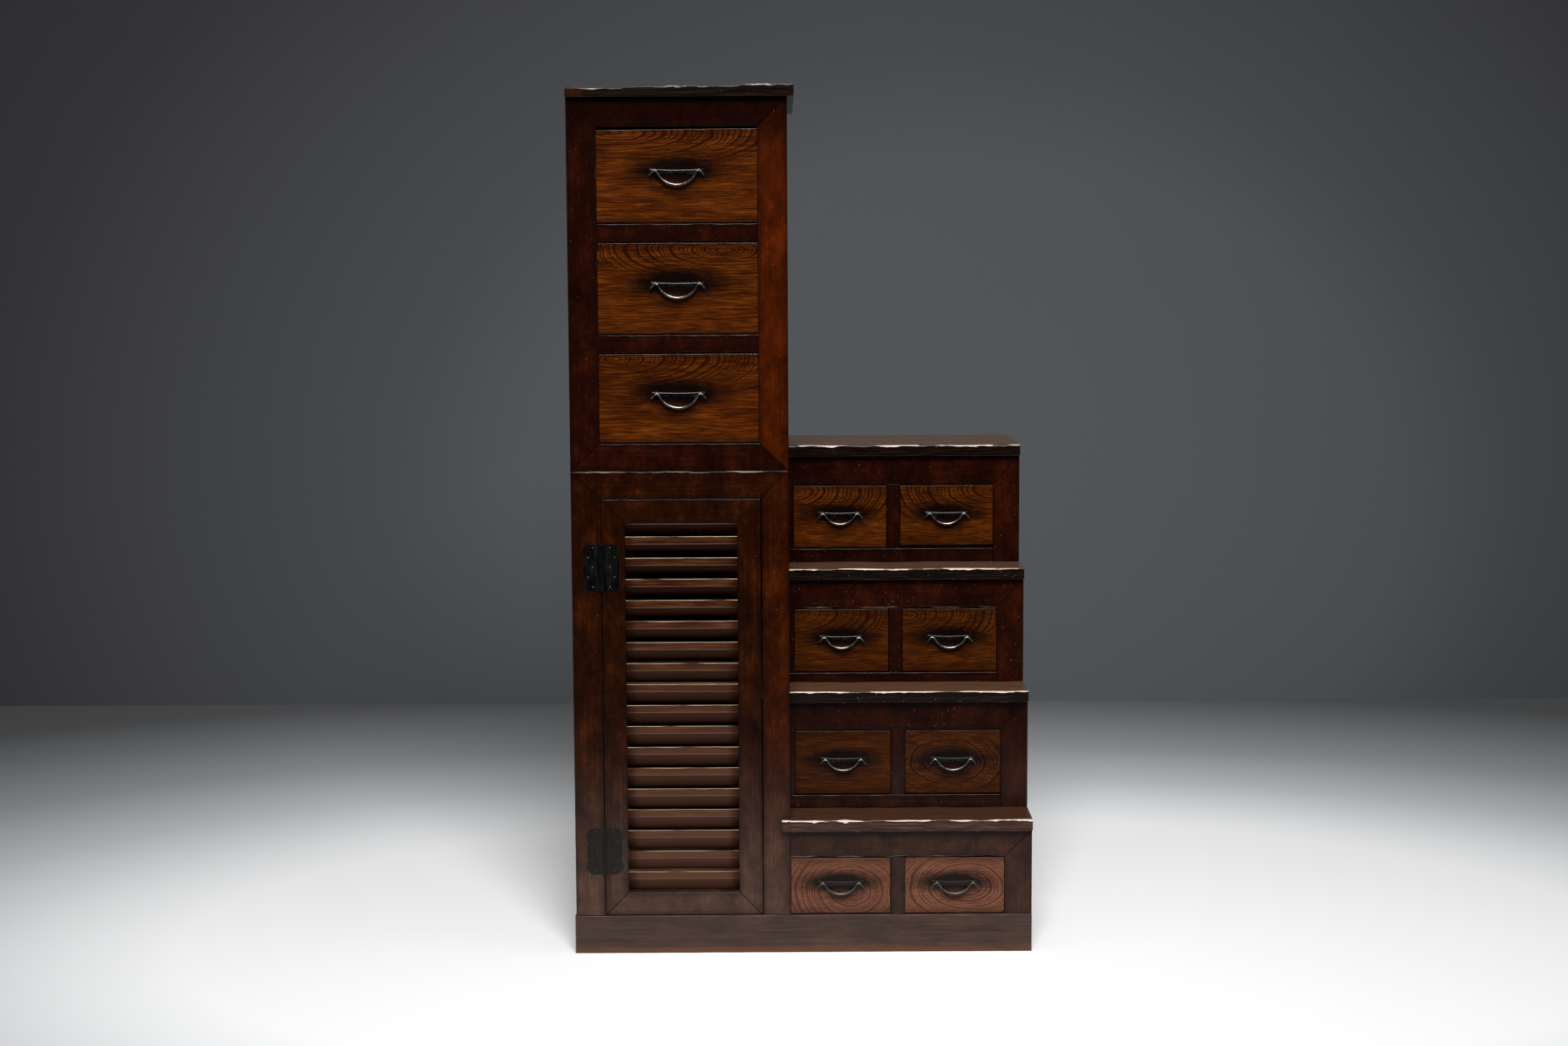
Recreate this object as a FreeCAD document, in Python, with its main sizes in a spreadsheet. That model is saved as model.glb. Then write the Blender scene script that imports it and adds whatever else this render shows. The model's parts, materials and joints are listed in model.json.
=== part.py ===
"""Step chest tansu: a drawer unit on a louvred cupboard, beside four steps of small drawers.

Millimetres. X runs to the right along the front, Y to the back and Z up. The origin is on the
floor under the middle of the plinth. Steps are numbered from the floor up.
"""
import FreeCAD, Part
import math
import os
import re

import Sketcher

Vector = FreeCAD.Vector

SIZES = {
    # Plinth and carcase boards
    "plinth_width": 909.0,
    "plinth_height": 76.0,
    "plinth_board": 21.0,
    "bearer_width": 60.0,
    "carcase_depth": 500.0,
    "reveal": 2.0,
    "frame_thickness": 22.0,
    "side_thickness": 18.0,
    "back_thickness": 9.0,
    "floor_thickness": 12.0,
    "guide_height": 20.0,
    "nosing": 13.0,
    "arris_radius": 3.0,
    # Tower: cupboard unit
    "tower_width": 427.0,
    "cupboard_height": 889.0,
    "hinge_stile": 58.0,
    "closing_stile": 53.5,
    "cupboard_top_rail": 53.0,
    "shelf_thickness": 15.0,
    "shelf_height": 430.0,
    "shelf_setback": 18.0,
    "cleat": 15.0,
    "stop_depth": 12.0,
    "stop_overlap": 12.0,
    # Louvred door
    "hinge_gap": 1.0,
    "closing_gap": 2.0,
    "door_bottom_gap": 1.4,
    "door_top_gap": 1.8,
    "door_stop_gap": 0.5,
    "door_member": 46.0,
    "slat_count": 17,
    "slat_face": 14.6,
    "slat_clearance": 0.4,
    "head_slat_face": 2.0,
    "slat_setback": 3.0,
    # Leaf hinges
    "upper_hinge_inset": 134.0,
    "lower_hinge_inset": 130.0,
    "leaf_height": 92.0,
    "leaf_width": 37.5,
    "leaf_thickness": 1.2,
    "leaf_corner_width": 11.0,
    "leaf_corner_height": 6.5,
    "leaf_cusp_height": 25.0,
    "leaf_cusp_depth": 5.0,
    "top_knuckle": 19.0,
    "door_knuckle": 36.0,
    "knuckle_radius": 2.6,
    "knuckle_gap": 0.4,
    "knuckle_clearance": 0.2,
    "pin_radius": 1.4,
    "pin_clearance": 0.1,
    "nail_radius": 1.9,
    "nail_dome": 1.2,
    "nail_near": 17.0,
    "nail_far": 26.0,
    "nail_step": 19.5,
    # Tower: drawer unit
    "unit_stile": 57.0,
    "unit_bottom_rail": 54.5,
    "unit_middle_rail": 34.5,
    "unit_top_rail": 56.5,
    "bottom_opening": 177.5,
    "middle_opening": 180.5,
    "top_opening": 186.0,
    "top_board": 25.0,
    "top_board_overhang": 13.0,
    "top_board_end": 39.0,
    # Steps
    "step_setback": 85.0,
    "step_1_opening": 117.0,
    "step_1_top_rail": 54.5,
    "step_2_bottom_rail": 26.0,
    "step_2_opening": 134.0,
    "step_2_top_rail": 57.5,
    "step_3_bottom_rail": 19.0,
    "step_3_opening": 134.0,
    "step_3_top_rail": 60.0,
    "step_4_bottom_rail": 27.5,
    "step_4_opening": 134.0,
    "step_4_top_rail": 60.0,
    "step_stile": 54.0,
    "step_near_stile": 10.0,
    "muntin": 27.5,
    "tread_thickness": 23.5,
    "tread_horn": 16.5,
    # Drawers
    "drawer_setback": 2.0,
    "drawer_side_gap": 1.0,
    "drawer_bottom_gap": 2.2,
    "drawer_top_gap": 2.5,
    "drawer_floor_gap": 0.5,
    "drawer_tail_gap": 12.0,
    "drawer_front": 18.0,
    "drawer_side": 9.0,
    "drawer_side_drop": 8.0,
    "drawer_bottom": 6.0,
    # Pulls
    "bail_wire": 5.0,
    "bail_bend": 3.5,
    "bail_standoff": 8.0,
    "bail_flare": 8.5,
    "bail_flare_angle": 50.0,
    "eye_width": 3.0,
    "eye_wall": 1.7,
    "eye_clearance": 0.3,
    "plate_thickness": 1.5,
    "plate_rise": 4.0,
    "plate_sag": 2.0,
    "plate_waist": 8.5,
    "plate_foot": 13.0,
    "plate_foot_width": 12.0,
    "plate_end": 8.8,
    "wide_pull_span": 86.0,
    "wide_pull_drop": 26.5,
    "wide_pull_height": 8.0,
    "small_pull_span": 72.0,
    "small_pull_drop": 21.0,
    "small_pull_height": 5.7,
}

DOC = FreeCAD.newDocument("step_chest")
DIMS = DOC.addObject("Spreadsheet::Sheet", "dims")
ALIAS = re.compile(r"\b(?:" + "|".join(sorted(SIZES, key=len, reverse=True)) + r")\b")
NODES = []


def fill_sheet():
    """Write every driving size into the sheet, one row each."""
    for row, (alias, size) in enumerate(SIZES.items(), start=1):
        DIMS.set(f"A{row}", alias)
        DIMS.set(f"B{row}", str(size))
        DIMS.setAlias(f"B{row}", alias)
    DOC.recompute()


def formula(text):
    """The expression for a sum of named sizes."""
    return ALIAS.sub(lambda word: "dims." + word.group(0), str(text))


def value(text):
    """The number that a sum of named sizes gives."""
    return float(DIMS.evalExpression(formula(text)))


def bind(item, prop, text):
    """Tie a property to the sizes it is worked out from."""
    item.setExpression(prop, formula(text))


def place(item, x, y, z):
    """Tie an object's position to three sums of named sizes."""
    for axis, text in (("x", x), ("y", y), ("z", z)):
        bind(item, f"Placement.Base.{axis}", text)


# Places that several pieces share
FRONT = "(-carcase_depth / 2)"
BACK = "(carcase_depth / 2)"
FACE = f"({FRONT} + reveal)"
FRAME_BACK = f"({FACE} + frame_thickness)"
PANEL_BACK = f"({BACK} - back_thickness)"
LEFT = "(-plinth_width / 2 + reveal)"
RIGHT = "(plinth_width / 2)"
TOWER_RIGHT = f"({LEFT} + tower_width)"
INSIDE_LEFT = f"({LEFT} + side_thickness)"
INSIDE_RIGHT = f"({TOWER_RIGHT} - side_thickness)"
CUPBOARD_TOP = "(plinth_height + cupboard_height)"
DOOR_OPENING_TOP = f"({CUPBOARD_TOP} - cupboard_top_rail)"
DOOR_LEFT = f"({LEFT} + hinge_stile + hinge_gap)"
DOOR_RIGHT = f"({TOWER_RIGHT} - closing_stile - closing_gap)"
DOOR_BOTTOM = "(plinth_height + door_bottom_gap)"
DOOR_TOP = f"({DOOR_OPENING_TOP} - door_top_gap)"
HINGE_X = f"({LEFT} + hinge_stile + hinge_gap / 2)"
HINGE_Y = f"({FACE} - knuckle_radius - knuckle_clearance)"
UNIT_LEFT = f"({LEFT} + unit_stile)"
UNIT_RIGHT = f"({TOWER_RIGHT} - unit_stile)"


# ---------------------------------------------------------------- kinds of solid

def board(name, x, y, z):
    """A square-edged board that runs from one place to another along each axis."""
    box = DOC.addObject("Part::Box", name)
    for side, (start, end) in (("Length", x), ("Width", y), ("Height", z)):
        bind(box, side, f"({end}) - ({start})")
    place(box, x[0], y[0], z[0])
    return box


def wedge(name, sides, turn):
    """A block whose section changes evenly from one end to the other."""
    block = DOC.addObject("Part::Wedge", name)
    block.Placement.Rotation = turn
    for prop, text in sides.items():
        bind(block, prop, text)
    return block


def mitred_rail(name, low, high, y, z):
    """A level rail: `low` and `high` are where its lower and upper edges start and end."""
    sides = {"Xmin": low[0], "Xmax": low[1], "X2min": high[0], "X2max": high[1],
             "Ymin": "0", "Ymax": f"({z[1]}) - ({z[0]})",
             "Zmin": "0", "Zmax": f"({y[1]}) - ({y[0]})", "Z2min": "0", "Z2max": f"({y[1]}) - ({y[0]})"}
    rail = wedge(name, sides, FreeCAD.Rotation(Vector(1, 0, 0), 90))
    place(rail, "0", y[1], z[0])
    return rail


def mitred_stile(name, left, right, x, y):
    """An upright: `left` and `right` are where its left and right edges start and end."""
    sides = {"Zmin": left[0], "Zmax": left[1], "Z2min": right[0], "Z2max": right[1],
             "Ymin": "0", "Ymax": f"({x[1]}) - ({x[0]})",
             "Xmin": "0", "Xmax": f"({y[1]}) - ({y[0]})", "X2min": "0", "X2max": f"({y[1]}) - ({y[0]})"}
    stile = wedge(name, sides, FreeCAD.Rotation(Vector(0, 0, 1), -90))
    place(stile, x[0], y[1], "0")
    return stile


def outline_sketch(body, corners, z):
    """A closed outline on the body's level plane, each corner tied to its own two sums."""
    sketch = body.newObject("Sketcher::SketchObject", body.Name + "_outline")
    level = next(plane for plane in body.Origin.OriginFeatures if plane.Role == "XY_Plane")
    sketch.AttachmentSupport = [(level, "")]
    sketch.MapMode = "FlatFace"
    bind(sketch, "AttachmentOffset.Base.z", z)
    points = [Vector(value(x), value(y), 0) for x, y in corners]
    for start, end in zip(points, points[1:] + points[:1]):
        sketch.addGeometry(Part.LineSegment(start, end), False)
    for line in range(len(points)):
        sketch.addConstraint(Sketcher.Constraint("Coincident", line, 2, (line + 1) % len(points), 1))
    for line, (point, texts) in enumerate(zip(points, corners)):
        for axis, size, text in (("X", point.x, texts[0]), ("Y", point.y, texts[1])):
            index = sketch.addConstraint(Sketcher.Constraint("Distance" + axis, -1, 1, line, 1, size))
            sketch.renameConstraint(index, f"corner_{line}_{axis.lower()}")
            bind(sketch, f"Constraints.corner_{line}_{axis.lower()}", text)
    return sketch


def nosed_board(name, corners, z, thickness):
    """A thick board with the two long arrises of its front edge rounded."""
    body = DOC.addObject("PartDesign::Body", name)
    pad = body.newObject("PartDesign::Pad", name + "_pad")
    pad.Profile = outline_sketch(body, corners, z)
    bind(pad, "Length", thickness)
    DOC.recompute()
    front = pad.Shape.BoundBox.YMin
    arrises = [f"Edge{number}" for number, edge in enumerate(pad.Shape.Edges, start=1)
               if edge.BoundBox.YMax - front < 0.01 and edge.BoundBox.ZLength < 0.01]
    rounding = body.newObject("PartDesign::Fillet", name + "_arrises")
    rounding.Base = (pad, arrises)
    bind(rounding, "Radius", "arris_radius")
    return body


def node(name, pieces):
    """One named sub-part made of separate solids."""
    group = DOC.addObject("Part::Compound", name)
    group.Links = pieces
    group.Label = name
    NODES.append(group)
    return group


# ---------------------------------------------------------------- plinth

def plinth():
    """Four boards on edge, with a bearer under the middle."""
    between = (f"{FRONT} + plinth_board", f"{BACK} - plinth_board")
    across = ("-plinth_width / 2", RIGHT)
    height = ("0", "plinth_height")
    node("plinth", [
        board("plinth_front", across, (FRONT, between[0]), height),
        board("plinth_rear", across, (between[1], BACK), height),
        board("plinth_left", (across[0], f"{across[0]} + plinth_board"), between, height),
        board("plinth_right", (f"{RIGHT} - plinth_board", RIGHT), between, height),
        board("plinth_bearer", ("-bearer_width / 2", "bearer_width / 2"), between, height),
    ])


# ---------------------------------------------------------------- cupboard unit

def cupboard_panels():
    """Side, floor, ceiling and back boards of the cupboard."""
    depth = (FRAME_BACK, PANEL_BACK)
    height = ("plinth_height", CUPBOARD_TOP)
    inside = (INSIDE_LEFT, INSIDE_RIGHT)
    node("cupboard_side_panels", [
        board("cupboard_left_panel", (LEFT, INSIDE_LEFT), depth, height),
        board("cupboard_right_panel", (INSIDE_RIGHT, TOWER_RIGHT), depth, height),
    ])
    node("cupboard_floor_and_ceiling", [
        board("cupboard_floor", inside, depth, ("plinth_height", "plinth_height + floor_thickness")),
        board("cupboard_ceiling", inside, depth, (f"{CUPBOARD_TOP} - floor_thickness", CUPBOARD_TOP)),
    ])
    node("cupboard_back_panel", [
        board("cupboard_back", (LEFT, TOWER_RIGHT), (PANEL_BACK, BACK), height),
    ])


def cupboard_shelf():
    """A loose shelf on two cleats."""
    top = "plinth_height + floor_thickness + shelf_height"
    depth = (f"{FRAME_BACK} + shelf_setback", PANEL_BACK)
    under = (f"{top} - shelf_thickness - cleat", f"{top} - shelf_thickness")
    node("cupboard_shelf", [
        board("shelf_board", (INSIDE_LEFT, INSIDE_RIGHT), depth, (under[1], top)),
        board("shelf_left_cleat", (INSIDE_LEFT, f"{INSIDE_LEFT} + cleat"), depth, under),
        board("shelf_right_cleat", (f"{INSIDE_RIGHT} - cleat", INSIDE_RIGHT), depth, under),
    ])


def cupboard_face_frame():
    """Two stiles and a top rail with mitred corners, and the batten that the door closes on."""
    inner = (f"{LEFT} + hinge_stile", f"{TOWER_RIGHT} - closing_stile")
    full = ("plinth_height", CUPBOARD_TOP)
    short = ("plinth_height", DOOR_OPENING_TOP)
    depth = (FACE, FRAME_BACK)
    node("cupboard_face_frame", [
        mitred_stile("cupboard_hinge_stile", full, short, (LEFT, inner[0]), depth),
        mitred_stile("cupboard_closing_stile", short, full, (inner[1], TOWER_RIGHT), depth),
        mitred_rail("cupboard_rail", inner, (LEFT, TOWER_RIGHT), depth, (DOOR_OPENING_TOP, CUPBOARD_TOP)),
        board("door_stop_batten", inner, (FRAME_BACK, f"{FRAME_BACK} + stop_depth"),
              (f"{DOOR_OPENING_TOP} - stop_overlap", f"{DOOR_OPENING_TOP} + stop_overlap")),
    ])


def louvred_door():
    """A mitred frame that holds slats sloping down towards the inside.

    Each slat drops far enough to close the view through the space under it. The space over the top
    slat is closed by a narrow one that tapers to the frame's head.
    """
    depth = (FACE, f"({FRAME_BACK} - door_stop_gap)")
    inner_x = (f"({DOOR_LEFT} + door_member)", f"({DOOR_RIGHT} - door_member)")
    inner_z = (f"({DOOR_BOTTOM} + door_member)", f"({DOOR_TOP} - door_member)")
    outer_x = (DOOR_LEFT, DOOR_RIGHT)
    outer_z = (DOOR_BOTTOM, DOOR_TOP)
    node("door_frame", [
        mitred_stile("door_hinge_stile", outer_z, inner_z, (outer_x[0], inner_x[0]), depth),
        mitred_stile("door_closing_stile", inner_z, outer_z, (inner_x[1], outer_x[1]), depth),
        mitred_rail("door_bottom_rail", outer_x, inner_x, depth, (outer_z[0], inner_z[0])),
        mitred_rail("door_top_rail", inner_x, outer_x, depth, (inner_z[1], outer_z[1])),
    ])
    space = f"(({inner_z[1]} - {inner_z[0]} - slat_count * slat_face) / (slat_count + 1))"
    drop = f"({space} - slat_clearance)"
    between = {"Xmin": inner_x[0], "Xmax": inner_x[1], "X2min": inner_x[0], "X2max": inner_x[1],
               "Ymin": f"{depth[0]} + slat_setback", "Ymax": f"{depth[1]} - slat_setback"}
    slats = []
    for number in range(1, int(DIMS.slat_count) + 1):
        low = f"({inner_z[0]} + {number} * {space} + {number - 1} * slat_face)"
        sides = {"Zmin": low, "Zmax": f"{low} + slat_face",
                 "Z2min": f"{low} - {drop}", "Z2max": f"{low} + slat_face - {drop}"}
        slats.append(wedge(f"slat_{number}", between | sides, FreeCAD.Rotation()))
    head = {"Zmin": f"{inner_z[1]} - head_slat_face", "Zmax": inner_z[1],
            "Z2min": f"{inner_z[1]} - {drop}", "Z2max": inner_z[1]}
    slats.append(wedge("head_slat", between | head, FreeCAD.Rotation()))
    node("door_louvre_slats", slats)


# ---------------------------------------------------------------- leaf hinges

def leaf_plate(name, hand):
    """A flat wrought leaf; its outer edge has cut corners and three shallow lobes."""
    tall = DIMS.leaf_height / 2
    wide = DIMS.leaf_width
    inner = DIMS.knuckle_radius + DIMS.knuckle_gap
    corner = (wide - DIMS.leaf_corner_width, tall)
    shoulder = (wide - DIMS.leaf_cusp_depth, tall - DIMS.leaf_corner_height)
    lobe = (wide, (tall - DIMS.leaf_corner_height + tall - DIMS.leaf_cusp_height) / 2)
    cusp = (wide - DIMS.leaf_cusp_depth, tall - DIMS.leaf_cusp_height)
    waist = (wide - DIMS.leaf_cusp_depth / 2, 0)

    def at(point, side=1):
        return Vector(hand * point[0], 0, side * point[1])

    outline = Part.Wire([
        Part.LineSegment(at((inner, tall)), at(corner)).toShape(),
        Part.LineSegment(at(corner), at(shoulder)).toShape(),
        Part.Arc(at(shoulder), at(lobe), at(cusp)).toShape(),
        Part.Arc(at(cusp), at(waist), at(cusp, -1)).toShape(),
        Part.Arc(at(cusp, -1), at(lobe, -1), at(shoulder, -1)).toShape(),
        Part.LineSegment(at(shoulder, -1), at(corner, -1)).toShape(),
        Part.LineSegment(at(corner, -1), at((inner, tall), -1)).toShape(),
        Part.LineSegment(at((inner, tall), -1), at((inner, tall))).toShape(),
    ])
    plate = DOC.addObject("Part::Feature", name)
    plate.Shape = Part.Face(outline).extrude(Vector(0, -DIMS.leaf_thickness, 0))
    return plate


def barrel(name, radius, z):
    """An upright cylinder on the hinge's axis."""
    round_bar = DOC.addObject("Part::Cylinder", name)
    bind(round_bar, "Radius", radius)
    bind(round_bar, "Height", f"({z[1]}) - ({z[0]})")
    place(round_bar, HINGE_X, HINGE_Y, z[0])
    return round_bar


def hinge_leaf(name, hand, middle, spans):
    """A leaf with its knuckles, bored for the pin; `spans` are the knuckles' heights."""
    plate = leaf_plate(name + "_plate", hand)
    place(plate, HINGE_X, FACE, middle)
    solids = [plate]
    reach = ("knuckle_radius / 2", "knuckle_radius + 2 * knuckle_gap")
    tab = [f"({HINGE_X} + {hand} * ({distance}))" for distance in reach][::hand]
    for number, span in enumerate(spans, start=1):
        solids.append(barrel(f"{name}_knuckle_{number}", "knuckle_radius", span))
        solids.append(board(f"{name}_tab_{number}", tab, (f"{FACE} - leaf_thickness", FACE), span))
    leaf = DOC.addObject("Part::MultiFuse", name + "_blank")
    leaf.Shapes = solids
    bored = DOC.addObject("Part::Cut", name)
    bored.Base = leaf
    bored.Tool = barrel(name + "_bore", "pin_radius + pin_clearance",
                        (f"{middle} - leaf_height", f"{middle} + leaf_height"))
    return bored


def leaf_nails(name, hand, middle):
    """Five domed nail heads in a zigzag down one leaf."""
    nails = []
    for number, steps in enumerate(range(-2, 3), start=1):
        dome = DOC.addObject("Part::Ellipsoid", f"{name}_nail_{number}")
        dome.Placement.Rotation = FreeCAD.Rotation(Vector(1, 0, 0), 90)
        dome.Angle1 = 0
        bind(dome, "Radius1", "nail_dome")
        bind(dome, "Radius2", "nail_radius")
        bind(dome, "Radius3", "nail_radius")
        out = "nail_near" if steps % 2 == 0 else "nail_far"
        place(dome, f"{HINGE_X} + {hand} * {out}", f"{FACE} - leaf_thickness",
              f"{middle} + {steps} * nail_step")
        nails.append(dome)
    return nails


def hinges():
    """Two leaf hinges: the case's leaves carry the pins, the door's leaves turn on them."""
    case_leaves = []
    door_leaves = []
    middles = {"upper": f"({DOOR_TOP} - upper_hinge_inset)", "lower": f"({DOOR_BOTTOM} + lower_hinge_inset)"}
    for side, middle in middles.items():
        ends = (f"({middle} - leaf_height / 2)", f"({middle} + leaf_height / 2)")
        door_spans = [(f"({ends[1]} - top_knuckle - door_knuckle)", f"({ends[1]} - top_knuckle)")]
        low, high = door_spans[0]
        case_spans = [(ends[0], f"({low} - knuckle_gap)"), (f"({high} + knuckle_gap)", ends[1])]
        case_leaves.append(hinge_leaf(f"{side}_case_leaf", -1, middle, case_spans))
        case_leaves.append(barrel(f"{side}_hinge_pin", "pin_radius", ends))
        case_leaves += leaf_nails(f"{side}_case_leaf", -1, middle)
        door_leaves.append(hinge_leaf(f"{side}_door_leaf", 1, middle, door_spans))
        door_leaves += leaf_nails(f"{side}_door_leaf", 1, middle)
    node("hinge_case_leaves", case_leaves)
    node("hinge_door_leaves", door_leaves)


# ---------------------------------------------------------------- pulls

def eye_post(name, x, y, z):
    """A flat post with a round eye for the bail; y is the face that it stands on."""
    axis = f"({y} - bail_standoff)"
    hole = "bail_wire / 2 + eye_clearance"
    left = f"({x} - eye_width / 2)"
    right = f"({x} + eye_width / 2)"
    bars = []
    for part, radius in (("ring", f"{hole} + eye_wall"), ("hole", hole)):
        bar = DOC.addObject("Part::Cylinder", f"{name}_{part}")
        bar.Placement.Rotation = FreeCAD.Rotation(Vector(0, 1, 0), 90)
        bind(bar, "Radius", radius)
        bind(bar, "Height", "eye_width")
        place(bar, left, axis, z)
        bars.append(bar)
    shank = board(f"{name}_shank", (left, right), (axis, f"({y} - plate_thickness)"),
                  (f"({z} - eye_wall)", f"({z} + eye_wall)"))
    blank = DOC.addObject("Part::Fuse", name + "_blank")
    blank.Base, blank.Tool = bars[0], shank
    post = DOC.addObject("Part::Cut", name)
    post.Base, post.Tool = blank, bars[1]
    return post


def plate_shape(width):
    """A thin bowed bar whose ends drop into two small feet; the bail's axis is at height 0."""
    half = width / 2
    top = DIMS.plate_rise
    toe = half - DIMS.plate_foot_width
    foot = top - DIMS.plate_foot
    tips = [Vector(-half, 0, top), Vector(half, 0, top)]
    heels = [Vector(half, 0, foot), Vector(-half, 0, foot)]
    toes = [Vector(toe, 0, foot), Vector(-toe, 0, foot)]
    middle = Vector(0, 0, top - DIMS.plate_sag)
    waist = Vector(0, 0, top - DIMS.plate_waist)
    outline = Part.Wire([
        Part.Arc(tips[0], middle, tips[1]).toShape(),
        Part.LineSegment(tips[1], heels[0]).toShape(),
        Part.LineSegment(heels[0], toes[0]).toShape(),
        Part.Arc(toes[0], waist, toes[1]).toShape(),
        Part.LineSegment(toes[1], heels[1]).toShape(),
        Part.LineSegment(heels[1], tips[0]).toShape(),
    ])
    return Part.Face(outline).extrude(Vector(0, -DIMS.plate_thickness, 0))


def bail_shape(span, drop):
    """A round wire: straight in both eyes, one wide arc between them, and a flared end outside each.

    The wide arc meets a small bend at each eye. Both turn by the same angle, twice the one whose
    tangent is the drop over half the length between the bends.
    """
    bend = DIMS.bail_bend
    straight = DIMS.eye_width / 2 + DIMS.eye_clearance
    reach = span / 2 - straight
    turn = 2 * math.atan(drop / reach)
    flare = math.radians(DIMS.bail_flare_angle)
    eye_in, eye_out = Vector(reach, 0, 0), Vector(reach + 2 * straight, 0, 0)

    def bent(start, angle, sign):
        return start + Vector(sign * bend * math.sin(angle), 0, -bend * (1 - math.cos(angle)))

    arc_end = bent(eye_in, turn, -1)
    flare_start = bent(eye_out, flare, 1)
    tip = flare_start + Vector(math.cos(flare), 0, -math.sin(flare)) * DIMS.bail_flare

    def other(point):
        return Vector(-point.x, 0, point.z)

    half = [
        Part.LineSegment(tip, flare_start).toShape(),
        Part.Arc(flare_start, bent(eye_out, flare / 2, 1), eye_out).toShape(),
        Part.LineSegment(eye_out, eye_in).toShape(),
        Part.Arc(eye_in, bent(eye_in, turn / 2, -1), arc_end).toShape(),
    ]
    arc = Part.Arc(arc_end, Vector(0, 0, -drop), other(arc_end)).toShape()
    ends = [tip, flare_start, eye_out, eye_in, arc_end]
    middles = [None, bent(eye_out, flare / 2, 1), None, bent(eye_in, turn / 2, -1)]
    mirrored = []
    for start, through, end in reversed(list(zip(ends, middles, ends[1:]))):
        if through is None:
            mirrored.append(Part.LineSegment(other(end), other(start)).toShape())
        else:
            mirrored.append(Part.Arc(other(end), other(through), other(start)).toShape())
    path = Part.Wire(half + [arc] + mirrored)
    along = (flare_start - tip).normalize()
    section = Part.Wire([Part.Circle(tip, along, DIMS.bail_wire / 2).toShape()])
    return path.makePipeShell([section], True, False)


def pull(name, kind, x, y, z):
    """A drawer's pull: back plate and eye posts in one node, the bail in another."""
    middle = f"({z} + {kind}_pull_height)"
    plate = DOC.addObject("Part::Feature", name + "_plate")
    plate.Shape = plate_shape(value(f"{kind}_pull_span + 2 * plate_end"))
    place(plate, x, y, middle)
    posts = [eye_post(f"{name}_{side}_post", f"({x} + {sign} * {kind}_pull_span / 2)", y, middle)
             for side, sign in (("left", -1), ("right", 1))]
    node(name + "_pull_plate", [plate] + posts)
    bail = DOC.addObject("Part::Feature", name + "_bail")
    bail.Shape = bail_shape(value(f"{kind}_pull_span"), value(f"{kind}_pull_drop"))
    place(bail, x, f"{y} - bail_standoff", middle)
    NODES.append(bail)


# ---------------------------------------------------------------- drawers

def drawer(name, kind, x, z, floor, face):
    """A drawer in the opening x by z, on a board whose top is `floor`, with its pull."""
    left, right = f"({x[0]} + drawer_side_gap)", f"({x[1]} - drawer_side_gap)"
    inner = (f"({left} + drawer_side)", f"({right} - drawer_side)")
    front = f"({face} + drawer_setback)"
    behind = f"({front} + drawer_front)"
    tail = f"({PANEL_BACK} - drawer_tail_gap)"
    bottom = (f"({floor} + drawer_floor_gap)", f"({floor} + drawer_floor_gap + drawer_bottom)")
    front_z = (f"({z[0]} + drawer_bottom_gap)", f"({z[1]} - drawer_top_gap)")
    rim = f"({front_z[1]} - drawer_side_drop)"
    node(name, [
        board(name + "_front", (left, right), (front, behind), front_z),
        board(name + "_left", (left, inner[0]), (behind, tail), (bottom[0], rim)),
        board(name + "_right", (inner[1], right), (behind, tail), (bottom[0], rim)),
        board(name + "_bottom", inner, (behind, tail), bottom),
        board(name + "_rear", inner, (f"({tail} - drawer_side)", tail), (bottom[1], rim)),
    ])
    pull(name, kind, f"(({left} + {right}) / 2)", front, f"(({front_z[0]} + {front_z[1]}) / 2)")


# ---------------------------------------------------------------- drawer unit

def drawer_unit_openings():
    """The three wide drawers' openings from the bottom up: name, low edge and high edge."""
    low = f"({CUPBOARD_TOP} + unit_bottom_rail)"
    openings = []
    for name in ("bottom", "middle", "top"):
        high = f"({low} + {name}_opening)"
        openings.append((name, low, high))
        low = f"({high} + unit_middle_rail)"
    return openings


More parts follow.
